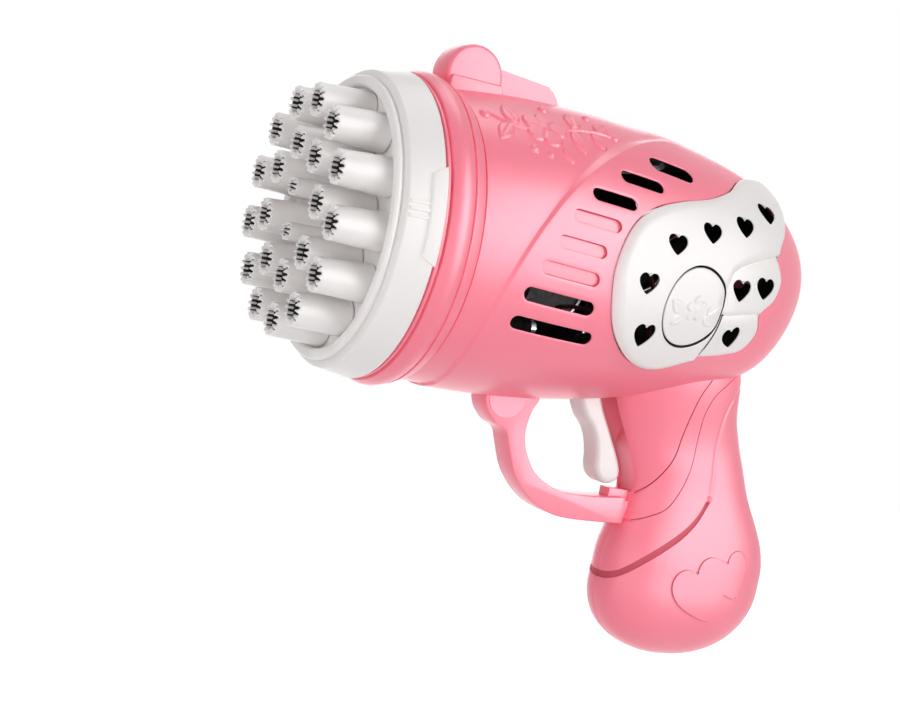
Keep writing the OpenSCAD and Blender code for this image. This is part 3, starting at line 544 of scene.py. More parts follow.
def leaf(u, s, foot, tip, wide):
    foot, tip = np.array(foot, float), np.array(tip, float)
    run = tip - foot
    length = np.linalg.norm(run)
    along = ((u - foot[0]) * run[0] + (s - foot[1]) * run[1]) / length
    across = np.abs((s - foot[1]) * run[0] - (u - foot[0]) * run[1]) / length
    share = np.clip(along / length, 0, 1)
    edge = wide * np.sin(np.pi * share ** 0.75) ** 0.8
    body = plateau(edge - across, 1.0) * ((along > 0) & (along < length))
    dome = 0.62 + 0.2 * np.sqrt(np.maximum(0, 1 - (across / np.maximum(edge, 0.1)) ** 2))
    return body * (dome - 0.3 * np.exp(-(across / 0.3) ** 2) * (share < 0.8))


def bead(u, s, mid, r):
    far = np.hypot(u - mid[0], s - mid[1])
    return 1.1 * np.sqrt(np.maximum(0, 1 - (far / r) ** 2))


def blossom(u, s, mid, r):
    far = np.hypot(u - mid[0], s - mid[1])
    way = np.arctan2(s - mid[1], u - mid[0])
    lobe = np.abs(np.cos(2.5 * way))
    petals = plateau(r * (0.66 + 0.34 * lobe ** 0.6) - far, 0.72)
    petals = petals - 0.35 * np.exp(-(lobe * far / 0.9) ** 2) * (petals > 0.3)
    return np.maximum(petals, 1.1 * np.sqrt(np.maximum(0, 1 - (far / (0.3 * r)) ** 2)))


STEM = curve([(6, 45), (12, 40.5), (20, 38.5), (28, 39.5), (36, 42.5), (44, 43.8), (52, 43.5)], 8, False)
STEM_HALF = 0.6
STEM_HIGH = 0.55
SPRAY = [(leaf, (12, 40), (7, 33), 2.6), (leaf, (14.5, 41), (13, 50), 2.8), (leaf, (35, 41), (37, 32), 2.8),
         (leaf, (36.5, 43.5), (38, 52.5), 2.8), (leaf, (42.5, 42.5), (46, 35.5), 2.3),
         (leaf, (45, 44), (51, 50), 2.4), (leaf, (29, 33), (31, 27.5), 1.8), (blossom, (24.5, 40.5), 7.8),
         (bead, (52, 43.5), 1.6), (bead, (5, 44), 1.7), (bead, (18, 30.8), 1.6), (bead, (28.5, 52), 1.7),
         (bead, (23.3, 29.2), 1.2), (bead, (45, 52.5), 1.3)]


def spray(u, s):
    height = plateau(STEM_HALF - from_line(u, s, STEM), STEM_HIGH)
    for form, *shape in SPRAY:
        height = np.maximum(height, form(u, s, *shape))
    return height


def body_relief(u, turn):
    return crease(u, turn) + spray(u, WRAP_R * np.radians(turn))


print("spray parts:", len(SPRAY))

# %% [markdown]
# ## Vent slots and the panel's outline
# Eight slots step down the side beside the panel. Five go through to the blower;
# three are only pressed in, with a floor and painted shade on their walls. Each is
# a rounded bar, and its lip is a narrow band on the skin that turns in and down.
# The feathered panel sits in a cut of its own outline, with a fine gap all round,
# so the skin under it is left out. The crease gets a strip of its own along its line.

# %% Outlines on the skin
SLOT_FROM = [64.6, 50.1, 38.3, 31.2, 26.3, 22.0, 18.6, 17.5]
SLOT_TO = [76.1, 62.2, 50.5, 44.5, 39.8, 38.7, 39.4, 42.7]
SLOT_TURN = [41.7, 31.7, 22.1, 12.9, 2.8, -7.2, -17.8, -29.6]
SLOT_HALF = [3.0, 2.2, 2.1, 2.0, 2.0, 2.1, 2.3, 2.4]
SLOT_LEAN = -0.1
BLIND_SLOTS = (3, 4, 5)
ROUND_STEPS = 16
SLOT_STEP = 0.8
SLOT_SKIN_R = 49.0
PANEL = wrap(curve([(105, 33.4), (119, 33), (125.5, 26.5), (122.5, 17.5), (117, 9.5), (119.8, 1.2),
                    (117, -6), (111.5, -10.8), (113.2, -17), (109.5, -23.4), (101, -26.3), (89, -28.4),
                    (76, -32.6), (66.5, -32.4), (57, -27.6), (49.5, -19), (45.8, -6), (47.4, 4.5),
                    (52.5, 13), (61, 18.6), (72, 21.8), (84, 24.2), (95, 28.2)], 8))


def slot_outline(k):
    half = SLOT_HALF[k]
    middle = (SLOT_FROM[k] + SLOT_TO[k]) / 2
    line = []
    for u, first in ((SLOT_TO[k], -90), (SLOT_FROM[k], 90)):
        for i in range(ROUND_STEPS + 1):
            a = math.radians(first + 180 * i / ROUND_STEPS)
            line.append((u + half * math.cos(a), half * WRAP_R / SLOT_SKIN_R * math.sin(a)))
    u, s = even_steps(line, SLOT_STEP).T
    turn = WRAP_R * math.radians(SLOT_TURN[k])
    return np.stack([u, s + turn + SLOT_LEAN * (u - middle)], axis=1)


SLOTS = [slot_outline(k) for k in range(len(SLOT_FROM))]
print("slots:", len(SLOTS), "panel outline points:", len(PANEL))

# %% Lips round an outline and strips along a line
LIFT = 0.012


def looks_in(rings, place, line):
    away = place(line[:, 0], line[:, 1], 1.0) - place(line[:, 0], line[:, 1], 0.0)
    across = np.cross(np.diff(rings[0], axis=0), (rings[1] - rings[0])[:-1])
    return float(np.sum(across * away[:-1])) < 0


def with_room(outline, out, d):
    reach = np.full((len(outline), 1), float(d))
    for _ in range(5 if d > 0 else 0):
        spot = outline + out * reach
        crossed = inside(spot[:, 0], spot[:, 1], outline) > 0
        reach[crossed] *= 0.6
    return outline + out * reach


def lip(name, outline, place, rows, fill=False):
    out = outward(outline)
    spots = [with_room(outline, out, d) for d, h in rows]
    rings = [place(spot[:, 0], spot[:, 1], h) for spot, (d, h) in zip(spots, rows)]
    return band(name, rings, flip=looks_in(rings, place, outline), fill=fill)


def both_walls(wall):
    return wall + [(-d, -share, h) for d, share, h in wall[::-1]]


def strip(name, line, place, rows, half=0.0, deep=1.0):
    run = np.gradient(line, axis=0)
    right = np.stack([run[:, 1], -run[:, 0]], axis=1)
    right /= np.linalg.norm(right, axis=1)[:, None]
    rings = []
    for d, share, h in rows:
        off = d + share * half
        rings.append(place(line[:, 0] + right[:, 0] * off, line[:, 1] + right[:, 1] * off, h * deep))
    return sheet(name, np.array(rings), flip=looks_in(rings, place, line))


THROUGH_ROWS = [(1.1, LIFT), (0.2, LIFT), (0.06, -0.05), (0.0, -0.15), (0.0, -0.4)]
BLIND_ROWS = [(1.1, LIFT), (0.14, LIFT), (0.03, -0.04), (0.0, -0.12), (-0.05, -1.0), (-0.15, -1.1),
              (-0.7, -1.1)]
# painted shade: the walls of a pressed-in slot get the darker pink
BLIND_WALL_SHADE = (2, 3)
SEAT_ROWS = [(2.7, LIFT), (0.42, LIFT), (0.35, -0.06), (0.34, -2.4)]
CREASE_ROWS = [(-CREASE_MARGIN - 0.8, -1, 0.0), (-0.05, -1, 0.0), (0.05, -1, 0.03), (0.0, -0.5, 0.5),
               (-0.15, 0, 0.9), (0.05, 0, 0.97), (0.3, 0, 1.0), (CREASE_MARGIN + 0.8, 0, 1.0)]
print("rows of a slot's lip:", len(THROUGH_ROWS), "and of a blind one:", len(BLIND_ROWS))


# %% Grid lines of the body and room for its screws
BODY_WELLS = [(36, 38), (36, -38), (98, 38), (148, 6)]
WELL_R = 2.8
WELL_ROOM = WELL_R + 0.5


def body_lines():
    u_front = np.concatenate([[0, 0, 0.25, 0.6], np.arange(1.2, 5, 0.6), np.arange(5, 60, 0.33),
                              np.arange(60, 80, 0.45)])
    lean = np.linspace(math.asin((80 - DOME_MID) / DOME_LEN), math.pi / 2, 92)
    u = np.concatenate([u_front, DOME_MID + DOME_LEN * np.sin(lean)])
    turn = np.concatenate([[-90, -89.6, -89.2], np.arange(-88, -60, 1.5), np.arange(-60, 28, 0.6),
                           np.arange(28, 68, 0.38), np.arange(68, 72, 0.8),
                           np.arange(72, 88.5, 1.5), [89.2, 89.6, 90]])
    return u, turn


def well_room(u, s):
    spot = on_body(u, s, 0 * u, 1) / MM - np.array(GRIP_SHIFT)
    clear = np.ones(u.shape, bool)
    for x, z in BODY_WELLS:
        clear &= np.hypot(spot[..., 0] - x, spot[..., 2] - z) > WELL_ROOM
    return clear


print("body grid:", [len(line) for line in body_lines()])


# %% The two body shells
SIDES = (("left", -1), ("right", 1))
FRONT_ROWS = 5.0
FRONT_GAP = -0.2
FRONT_R = 47.0
FRONT_WALL = 3.0
SEAM_DEEP = 0.3
CREASE_BACK = 80.0
CREASE_FOOT = -66.0
PANEL_ROOM = 1.2
SLOT_ROOM = 0.7
SEAM_TURN = 0.5
SHELL_CORNER = 42.0


def body_shell(name, side):
    u, turn = np.meshgrid(*body_lines(), indexing="ij")
    first = FRONT_GAP + FRONT_R * np.sin(np.radians(turn)) * math.sin(BODY_LEAN)
    u = np.where(u < FRONT_ROWS, first + u * (1 - first / FRONT_ROWS), u)
    height = body_relief(u, turn)
    height -= SEAM_DEEP * (1 - ramp((90 - np.abs(turn)) / SEAM_TURN))
    height[0] -= FRONT_WALL
    s = WRAP_R * np.radians(turn)
    spots = on_body(u, s, height, side)
    mid_u, mid_s = middles(u), middles(s)
    keep = inside(mid_u, mid_s, PANEL) < -PANEL_ROOM
    mid_turn = np.degrees(mid_s / WRAP_R)
    far = crease_far(mid_u, mid_turn)
    on_crease = (far < CREASE_MARGIN) & (far > -crease_wide(mid_turn) - CREASE_MARGIN)
    keep &= ~(on_crease & (mid_u < CREASE_BACK) & (mid_turn > CREASE_FOOT))
    for outline in SLOTS:
        keep &= inside(mid_u, mid_s, outline) < -SLOT_ROOM
    if side > 0:
        keep &= well_room(mid_u, mid_s)
    parts = [sheet(name, spots, keep, flip=side < 0)]

    def place(a, b, h):
        return on_body(a, b, h + body_relief(a, np.degrees(b / WRAP_R)), side)

    def step_place(a, b, rise):
        turned = np.degrees(b / WRAP_R)
        far = crease_into(a, body_z(a, turned))
        return on_body(a, b, crease_low(a, turned, far) * (1 - rise) + LIFT, side)

    shaded = []
    for k, outline in enumerate(SLOTS):
        blind = k in BLIND_SLOTS
        parts.append(lip("lip", outline, place, BLIND_ROWS if blind else THROUGH_ROWS, blind))
        if blind:
            shaded.append((parts[-1], len(outline), BLIND_WALL_SHADE))
    parts.append(lip("seat", PANEL, place, SEAT_ROWS))
    wide = crease_wide(np.degrees(CREASE_LINE[:, 1] / WRAP_R))
    parts.append(strip("step", CREASE_LINE, step_place, CREASE_ROWS, wide))
    # the body shells get the darker pink of painted shade on their listed rows
    return one_piece(name, parts, (pink_shell, painted_shade_pink), SHELL_CORNER, shaded)


for label, side in SIDES:
    shell = body_shell("housing_body_" + label, side)
    finish_piece(shell, None, "gun", "pink_plastic", "housing_" + label)

# %% [markdown]
# ## The feathered vent panels
# Each side carries a white panel of three overlapping feathers with heart-shaped
# holes and a round insert. Puffy feathers are three plain outlines, each with a
# rounded edge; the highest one wins where they overlap, and the soft creases come
# by themselves. Heart holes and the insert get lips like the slots have, and the
# walls round the insert and of the fine line below it get a dark painted shade.

# %% Feather heights
UNDER_TWO = wrap([(88.6, -30), (90.8, -22), (91.9, -16), (92.2, -10), (91.6, -4), (93.5, 1.4), (97.5, 3.9),
                  (102.3, 5.6), (112, 8.2), (122, 10.5), (135, 10.5), (135, -34), (100, -36)])
UNDER_THREE = wrap([(88, -32), (91.5, -20), (93, -13.2), (102, -11.8), (108, -11.2), (118, -9.8),
                    (135, -9), (135, -34), (100, -37)])
FEATHER_HIGH = (3.1, 1.75, 0.9)
FEATHER_ROUND = (3.6, 2.4, 2.2)
FOLD = (1.3, 0.7)
FOLD_REACH = 2.6
UNDER_SKIN = -1.2


def round_edge(d, wide):
    c = np.clip(d / wide, 0, 1)
    return np.sqrt(1 - (1 - c) ** 2)


def feathers(u, s):
    edge = inside(u, s, PANEL)
    first = np.minimum(edge, -inside(u, s, UNDER_TWO))
    second = np.minimum(edge, -inside(u, s, UNDER_THREE))
    one, two, three = [high * round_edge(inner, wide) for high, wide, inner
                       in zip(FEATHER_HIGH, FEATHER_ROUND, (first, second, edge))]
    two = two - FOLD[0] * np.exp(np.minimum(first, 0) / FOLD_REACH)
    three = three - FOLD[1] * np.exp(np.minimum(second, 0) / FOLD_REACH)
    return np.where(edge > 0, np.maximum(one, np.maximum(two, three)), UNDER_SKIN)


print("feather heights:", FEATHER_HIGH)

# %% Heart-shaped holes
HALF_HEART = [(0.0, 0.31), (0.06, 0.39), (0.17, 0.46), (0.31, 0.455), (0.43, 0.37), (0.495, 0.22),
              (0.48, 0.05), (0.41, -0.11), (0.28, -0.29), (0.14, -0.44), (0.02, -0.535)]
HEARTS = wrap([(66.7, 7.4), (81.4, 12.5), (96.8, 16.1), (110.2, 21.7), (57.2, -5.4), (61.3, -21.1),
               (98.2, -3.7), (110.0, -1.9), (100.8, -19.7)])
HEART_WIDE = [8.0, 8.2, 8.4, 9.4, 7.8, 8.0, 8.3, 9.6, 7.6]
HEART_TALL = [0.74, 0.77, 0.82, 0.84, 0.77, 0.92, 0.90, 0.84, 1.1]
HEART_LEAN = [0, 0, 0, 0.1, 0, 0, 0, 0, 0.3]
PANEL_LIFT = 0.02
HEART_ROWS = [(0.9, PANEL_LIFT), (0.06, PANEL_LIFT), (0.0, -0.05), (0.0, -0.4)]


def heart(mid, w, lean=0.0, steps=5, tall=1.0):
    other = [(-x, y) for x, y in HALF_HEART[:0:-1]]
    line = curve(HALF_HEART + other, steps) * [w, w * tall]
    return leaned(line, lean, mid)


HEART_LINES = []
for mid, w, lean, tall in zip(HEARTS, HEART_WIDE, HEART_LEAN, HEART_TALL):
    HEART_LINES.append(heart(mid, w, lean, tall=tall))
print("hearts:", len(HEART_LINES))

# %% Panels with the insert's hole and a fine line below it
BADGE_AT = wrap([(78.6, -11.2)])[0]
BADGE_R = 13.0
RING_STEPS = 128
RING_ROWS = [(1.0, PANEL_LIFT), (0.3, PANEL_LIFT), (0.2, -0.08), (0.18, -2.6)]
RING_WALL_SHADE = (2,)
TAIL_LINE = curve(wrap([(93.2, -13.0), (93.1, -15.8), (92.7, -19.0), (91.9, -22.8), (90.7, -26.6)]), 6, False)
TAIL_ROWS = both_walls([(-0.85, 0, PANEL_LIFT), (-0.28, 0, PANEL_LIFT), (-0.24, 0, -0.6)])
TAIL_WALLS_SHADE = (1, 2, 3)
PANEL_STEP = 0.3
PANEL_U = (44, 128)
PANEL_S = (-36, 48)
EDGE_BAND = 0.5
HEART_ROOM = 0.5
RING_ROOM = 0.65
TAIL_ROOM = 0.55
PANEL_EDGE = (-1.2, -1.0, -0.75, -0.5, -0.3, -0.15, -0.05, 0.0)
PANEL_UNDER = -2.0
PANEL_CORNER = 40.0


def panel(name, side):
    u, s = np.meshgrid(np.arange(*PANEL_U, PANEL_STEP), np.arange(*PANEL_S, PANEL_STEP), indexing="ij")
    height = feathers(u, s)
    mid_u, mid_s = middles(u), middles(s)
    keep = inside(mid_u, mid_s, PANEL) > EDGE_BAND
    keep &= np.hypot(mid_u - BADGE_AT[0], mid_s - BADGE_AT[1]) > BADGE_R + RING_ROOM
    keep &= from_line(mid_u, mid_s, TAIL_LINE) > TAIL_ROOM
    for line in HEART_LINES:
        keep &= inside(mid_u, mid_s, line) < -HEART_ROOM
    parts = [sheet(name, on_body(u, s, height, side), keep, flip=side < 0)]

    def place(a, b, h):
        return on_body(a, b, h + feathers(a, b), side)

    for line in HEART_LINES:
        parts.append(lip("heart", line, place, HEART_ROWS))
    ring = lip("ring", ring_line(BADGE_AT, BADGE_R, RING_STEPS), place, RING_ROWS)
    tail = strip("tail", TAIL_LINE, place, TAIL_ROWS)
    parts += [ring, tail]
    out = outward(PANEL)
    rings = []
    for d in PANEL_EDGE:
        a, b = PANEL[:, 0] + out[:, 0] * d, PANEL[:, 1] + out[:, 1] * d
        lift = PANEL_LIFT if d < 0 else 0.0
        rings.append(on_body(a, b, np.maximum(feathers(a, b), 0) + lift, side))
    rings.append(on_body(PANEL[:, 0], PANEL[:, 1], np.full(len(PANEL), PANEL_UNDER), side))
    parts.append(band("edge", rings, flip=looks_in(rings, place, PANEL)))
    # painted shade on the walls of the insert's hole and of the fine line
    shaded = [(ring, RING_STEPS, RING_WALL_SHADE), (tail, len(TAIL_LINE), TAIL_WALLS_SHADE)]
    return one_piece(name, parts, (white_shell, painted_shade_dark), PANEL_CORNER, shaded)


print("grid step of a panel:", PANEL_STEP, "mm")

# %% Round inserts with a small flower
INSERT_HIGH = 2.8
INSERT_R = 12.55
INSERT_FADE = 4.0
INSERT_STEPS = 160
INSERT_WALL_SHADE = (0,)
PETAL_R = 4.4
PETAL_HIGH = 0.75
PETAL_SOFT = 0.6
EYE_R = 1.4
LEAF_HIGH = 0.8
INSERT_LEAVES = [((5.2, -1.4), (10.6, 2.2), 2.0), ((4.6, -2.6), (8.8, -5.2), 1.6)]


def insert_height(x, y):
    far = np.hypot(x, y)
    lobe = np.abs(np.cos(2.5 * (np.arctan2(y, x) - np.pi / 2)))
    flower = PETAL_HIGH * ramp((PETAL_R * (0.62 + 0.38 * lobe) - far) / PETAL_SOFT)
    flower = np.maximum(flower, np.sqrt(np.maximum(0, 1 - (far / EYE_R) ** 2)) + 0.2 * (far < EYE_R))
    for way in (-1, 1):
        for (x0, y0), (x1, y1), wide in INSERT_LEAVES:
            grown = LEAF_HIGH * leaf(x, y, (way * x0, y0), (way * x1, y1), wide)
            flower = np.maximum(flower, grown)
    return flower


def insert(name, side):
    edge = [(INSERT_R, -2.0), (INSERT_R, -0.5), (INSERT_R - 0.05, -0.22), (INSERT_R - 0.2, -0.08)]
    face = [(r, 0.0) for r in (INSERT_R - 0.45, *np.arange(INSERT_R - 0.65, 0, -0.2))]
    around = ring_line(BADGE_AT, BADGE_R, INSERT_STEPS)
    low = np.minimum(0, feathers(around[:, 0], around[:, 1]) - INSERT_HIGH)
    rings = []
    for r, drop in edge + face:
        x, y = ring_line((0, 0), r, INSERT_STEPS).T
        high = INSERT_HIGH + drop + insert_height(x, y) + low * (1 - ramp((INSERT_R - r) / INSERT_FADE))
        rings.append(on_body(BADGE_AT[0] + x, BADGE_AT[1] + y, high, side))
    piece = band(name, rings, flip=side > 0, fill=True)
    paint(piece, white, painted_shade_dark)
    # painted shade on the insert's outer wall, in the gap round it
    shade_rows(piece, INSERT_STEPS, INSERT_WALL_SHADE)
    smooth_all(piece)
    return piece


for label, side in SIDES:
    finish_piece(panel("feather_panel_" + label, side), None, "gun", "white_plastic", "wing_panel_" + label)
    finish_piece(insert("round_insert_" + label, side), None, "gun", "white_plastic", "wing_badge_" + label)

# %% [markdown]
# ## The hand grip
# The grip is a soft pistol shape that swells at the bottom. Its outline changes
# smoothly from ring to ring, so it is a stack of squarish ovals. Two fine seams
# sweep down its side, a wider groove crosses the bulb, and a pair of flat hearts
# stands proud below. All of these are heights again, added along the surface, and
# a thin ribbon follows each line so that its walls are crisp; the walls and groove
# floors get a darker pink of painted shade. In front a slot leaves the trigger room
# to swing in.

# %% Grip surface
GRIP_TOP = -16.0
GRIP_LOW = -130.0
BULB_FROM = -104.0
BULB_ROUND = 2.15
SQUARENESS = 2.4
MID_TOP = 117.4
MID_SWEEP = 23.2
MID_TUCK = 2.4
HALF_DEEP = 25.0
BULB_DEEPER = 8.2
HALF_WIDE = 15.5
BULB_WIDER = 2.5
TOP_FLARE = 6.0
TURN_R = 26.0


def grip_mid(z):
    return MID_TOP + MID_SWEEP * ramp((-z - 15) / 75) - MID_TUCK * ramp((-z - 96) / 34)


def grip_swell(z):
    return ramp((-z - 66) / 32)


def grip_end(z):
    deep = np.clip((BULB_FROM - z) / (BULB_FROM - GRIP_LOW), 0, 1)
    return (1 - deep ** BULB_ROUND) ** (1 / BULB_ROUND)


def grip_deep(z):
    return (HALF_DEEP + BULB_DEEPER * grip_swell(z)) * grip_end(z)


def grip_wide(z):
    return (HALF_WIDE + BULB_WIDER * grip_swell(z) + TOP_FLARE * ramp((z + 58) / 32)) * grip_end(z)


def grip_ends(z, share):
    return 2.6 * ramp((z + 46) / 18) * ramp(share) - 1.4 * ramp((z + 66) / 24) * ramp(-share)


def grip_ring(z, a):
    c, n = np.cos(a), np.sin(a)
    x = np.sign(c) * np.abs(c) ** (2 / SQUARENESS) * grip_deep(z)
    return grip_mid(z) + x + grip_ends(z, c), grip_wide(z) * np.abs(n) ** (2 / SQUARENESS)


def grip_share(x, z):
    off = x - grip_mid(z)
    return (off - grip_ends(z, off / grip_deep(z))) / grip_deep(z)


def on_grip(x, z, height, side):
    share = np.clip(np.abs(grip_share(x, z)), 0, 0.9999)
    y = grip_wide(z) * (1 - share ** SQUARENESS) ** (1 / SQUARENESS) + height
    return in_hand(x, side * y, z)


def grip_front(z):
    return grip_mid(z) - grip_deep(z)


print("the grip's front at mid height:", round(float(grip_front(-70.0)), 1), "mm")

# %% Seams, grooves and hearts on the grip
SEAM_ONE = curve([(127.5, -24), (126.1, -28.7), (122.8, -35.8), (121.7, -42.5), (121.1, -50.3),
                  (120.5, -58.6), (117.4, -66), (114.2, -71.2), (111, -74.3), (104, -75.2)], 6, False)
SEAM_TWO = curve([(142, -24), (133.1, -31.1), (128.6, -36.1), (126.9, -42.6), (127.4, -50.6), (127.7, -59.4),
                  (125.9, -68.5), (122, -76.4), (117.1, -80.1), (111.3, -83.1), (104, -84.2)], 6, False)
GROOVE_HIGH = curve([(146, -30), (139.5, -35), (136.6, -41), (136.3, -50.3), (137.2, -60), (137.8, -67.8),
                     (137.5, -71)], 6, False)
GROOVE_LOW = curve([(137.4, -72.0), (134.4, -78.6), (128.5, -85.1), (120.4, -92.1), (112.4, -99.6),
                    (108, -103.2), (100, -103.6)], 6, False)
GRIP_DOT = (137.5, -71.4)
GRIP_DOT_R = 0.9
GRIP_HEARTS = [heart((139.6, -103.6), 22.6, 0.51, 8, 0.98), heart((151.2, -97.6), 17.0, 0.51, 8, 0.98)]
PLATE_HIGH = (0.64, 0.46)
PLATE_SOFT = 0.45
PLATE_CRISP = 0.001
SOFT_LINES = [(SEAM_ONE, 0.5, 0.12, 0.3), (SEAM_TWO, 0.5, 0.12, 0.3), (GROOVE_HIGH, 0.3, 0.3, 0.7)]


def grip_relief(x, z, side):
    height = bead(x, z, GRIP_DOT, GRIP_DOT_R)
    cuts = [-deep * (1 - ramp((from_line(x, z, line) - half) / soft))
            for line, deep, half, soft in SOFT_LINES]
    soft = PLATE_SOFT if side > 0 else PLATE_CRISP
    plates = [high * ramp(inside(x, z, line) / soft) for high, line in zip(PLATE_HIGH, GRIP_HEARTS)]
    return np.minimum.reduce(cuts) + height + np.maximum(*plates)


GRIP_STEP = 0.34
BULB_ROWS = 76
GRIP_COLUMNS = 211
GRIP_SEAM = 0.02


def grip_sheet(side):
    down = np.sin(np.linspace(0, np.pi / 2, BULB_ROWS))
    bulb = BULB_FROM - (BULB_FROM - GRIP_LOW) * down
    z = np.concatenate([np.arange(GRIP_TOP, BULB_FROM, -GRIP_STEP), bulb])
    zz, aa = np.meshgrid(z, np.pi * np.linspace(0, 1, GRIP_COLUMNS), indexing="ij")
    x, y = grip_ring(zz, aa)
    flat = np.stack([x, y, zz], axis=-1)
    down = np.gradient(flat, axis=0)
    across = np.gradient(flat, axis=1)
    out = np.cross(down, across)
    length = np.linalg.norm(out, axis=-1, keepdims=True)
    out = np.where(length > 1e-9, out / np.maximum(length, 1e-9), 0)
    height = grip_relief(x, zz, side) - SEAM_DEEP * (1 - ramp(np.minimum(aa, np.pi - aa) / GRIP_SEAM))
    full = flat + out * height[..., None]
    return x, y, zz, -TURN_R * aa, in_hand(full[..., 0], side * full[..., 1], full[..., 2])


print("lines on the grip:", len(SOFT_LINES) + 1, "hearts:", len(GRIP_HEARTS))

# %% The door's outline
DOOR_AT = (135.8, -67.0)
DOOR_LEAN = math.radians(5.7)
DOOR_HALF = 20.0
DOOR_TOP = 11.0
DOOR_BOTTOM = -52.0
DOOR_CORNER = 4.0
DOOR_STEP = 0.6
CORNER_STEPS = 12


def door_outline():
    corners = [(DOOR_HALF, DOOR_TOP, 0), (-DOOR_HALF, DOOR_TOP, 90), (-DOOR_HALF, DOOR_BOTTOM, 180),
               (DOOR_HALF, DOOR_BOTTOM, 270)]
    line = []
    for x, z, first in corners:
        cx = x - math.copysign(DOOR_CORNER, x)
        cz = z - DOOR_CORNER if z > 0 else z + DOOR_CORNER
        for i in range(CORNER_STEPS + 1):
            t = math.radians(first + 90 * i / CORNER_STEPS)
            line.append((cx + DOOR_CORNER * math.cos(t), cz + DOOR_CORNER * math.sin(t)))
    return leaned(even_steps(line, DOOR_STEP), DOOR_LEAN, DOOR_AT)


DOOR = door_outline()
print("door outline points:", len(DOOR))


# %% The wide groove, round the grip to its front
def on_face(line, room):
    return line[line[:, 0] > grip_front(line[:, 1]) + room]


LOW_SIDE = on_face(GROOVE_LOW, 2.5)
LOW_DIP = 1.6
LOW_END = math.pi - 0.0005
LOW_ROWS = both_walls([(-0.85, -1, 0), (-0.02, -1, 0), (0.02, -1, -0.5), (0.05, -1, -0.6)])
# painted shade: these rows, the walls and floor of a groove's ribbon, get the darker pink
GROOVE_WALLS_SHADE = (2, 3, 4)
LOW_FADE = 0.8
EDGE_ROOM = 0.3
SMOOTHINGS = 40
DOOR_FRONT = -TURN_R * 2.45


def low_half(z):
    return 0.5 + 0.7 * ramp((-72 - z) / 20)


def round_grip(x, z):
    share = grip_share(x, z)
    c = np.sign(share) * np.clip(np.abs(share), 0, 1) ** (SQUARENESS / 2)
    return -TURN_R * np.arccos(c)


def low_line():
    side_part = np.stack([round_grip(LOW_SIDE[:, 0], LOW_SIDE[:, 1]), LOW_SIDE[:, 1]], axis=1)
    t = np.linspace(side_part[-1, 0], -TURN_R * LOW_END, 24)[1:]
    z = side_part[-1, 1] - LOW_DIP * ramp((side_part[-1, 0] - t) / 9)
    line = np.concatenate([side_part, np.stack([t, z], axis=1)])
    for _ in range(SMOOTHINGS):
        line[1:-1] = (line[:-2] + 2 * line[1:-1] + line[2:]) / 4
    return line


LOW_LINE = low_line()


def low_part(side):
    return LOW_LINE if side < 0 else LOW_LINE[LOW_LINE[:, 0] < DOOR_FRONT]


def round_flush(t, z, height, side):
    x, y = grip_ring(z, -t / TURN_R)
    mid, power = grip_mid(z), SQUARENESS - 1
    along = np.sign(x - mid) * np.abs((x - mid) / grip_deep(z)) ** power / grip_deep(z)
    away = (y / grip_wide(z)) ** power / grip_wide(z)
    size = np.hypot(along, away)
    return in_hand(x + along / size * (height + LIFT), side * (y + away / size * (height + LIFT)), z)


def run_of(line):
    steps = np.hypot(*np.diff(line, axis=0).T)
    return np.concatenate([[0], np.cumsum(steps)])


def low_room(z, t, side):
    line = low_part(side)
    return from_line(t, z, line[run_of(line) > LOW_FADE]) > low_half(z) + EDGE_ROOM


print("points along the wide groove:", len(LOW_LINE))

# %% Crisp seams and hearts on the left side
CRISP = [(on_face(SEAM_ONE, 1.2), 0.2, 0.8), (on_face(SEAM_TWO, 1.2), 0.14, 0.6)]
CRISP_FADE = 1.8
GROOVE_ROWS = both_walls([(-0.85, -1, 0), (-0.02, -1, 0), (0.02, -1, -0.2), (0.05, -1, -1)])
PLATE_ROWS = [(0.85, 0.0), (0.08, 0.0), (0.02, 0.05), (-0.03, 0.55), (-0.1, PLATE_HIGH[0]),
              (-0.9, PLATE_HIGH[0])]
SECOND_ROWS = [(-0.85, 0, 0.0), (-0.08, 0, 0.0), (-0.02, 0, 0.05), (0.03, 0, 0.38), (0.1, 0, PLATE_HIGH[1]),
               (0.9, 0, PLATE_HIGH[1])]
# painted shade on the wall round each heart plate
PLATE_WALL_SHADE = (2,)
PLATE_ROOM = 0.42


def crisp_room(x, z):
    clear = np.ones(x.shape, bool)
    for line, half, _ in CRISP:
        run = run_of(line)
        core = line[(run > CRISP_FADE) & (run < run[-1] - CRISP_FADE)]
        clear &= from_line(x, z, core) > half + EDGE_ROOM
    one, two = [inside(x, z, line) for line in GRIP_HEARTS]
    return clear & (np.abs(one) > PLATE_ROOM) & ((np.abs(two) > PLATE_ROOM) | (one > 0))


def flush(x, z, height):
    return on_grip(x, z, height + LIFT, -1)


def over_second(x, z, height):
    hidden = inside(x, z, GRIP_HEARTS[0]) > 0.01
    base = PLATE_HIGH[1] * ((inside(x, z, GRIP_HEARTS[1]) > 0) & ~hidden)
    return flush(x, z, np.maximum(height, base))


def crisp_lines():
    made = []
    for line, half, deep in CRISP:
        run = run_of(line)
        fade = ramp(np.minimum(run, run[-1] - run) / CRISP_FADE)
        made.append((strip("groove", line, flush, GROOVE_ROWS, half, deep * fade), len(line), GROOVE_WALLS_SHADE))
    front, second = GRIP_HEARTS
    made.append((lip("heart", front, over_second, PLATE_ROWS), len(front), PLATE_WALL_SHADE))
    seen = inside(second[:, 0], second[:, 1], front) < 0.5
    first = int(np.argmin(seen))
    shown = np.roll(second, -first, 0)[np.roll(seen, -first)]
    made.append((strip("second", shown, flush, SECOND_ROWS), len(shown), PLATE_WALL_SHADE))
    return made


print("crisp seams:", len(CRISP))

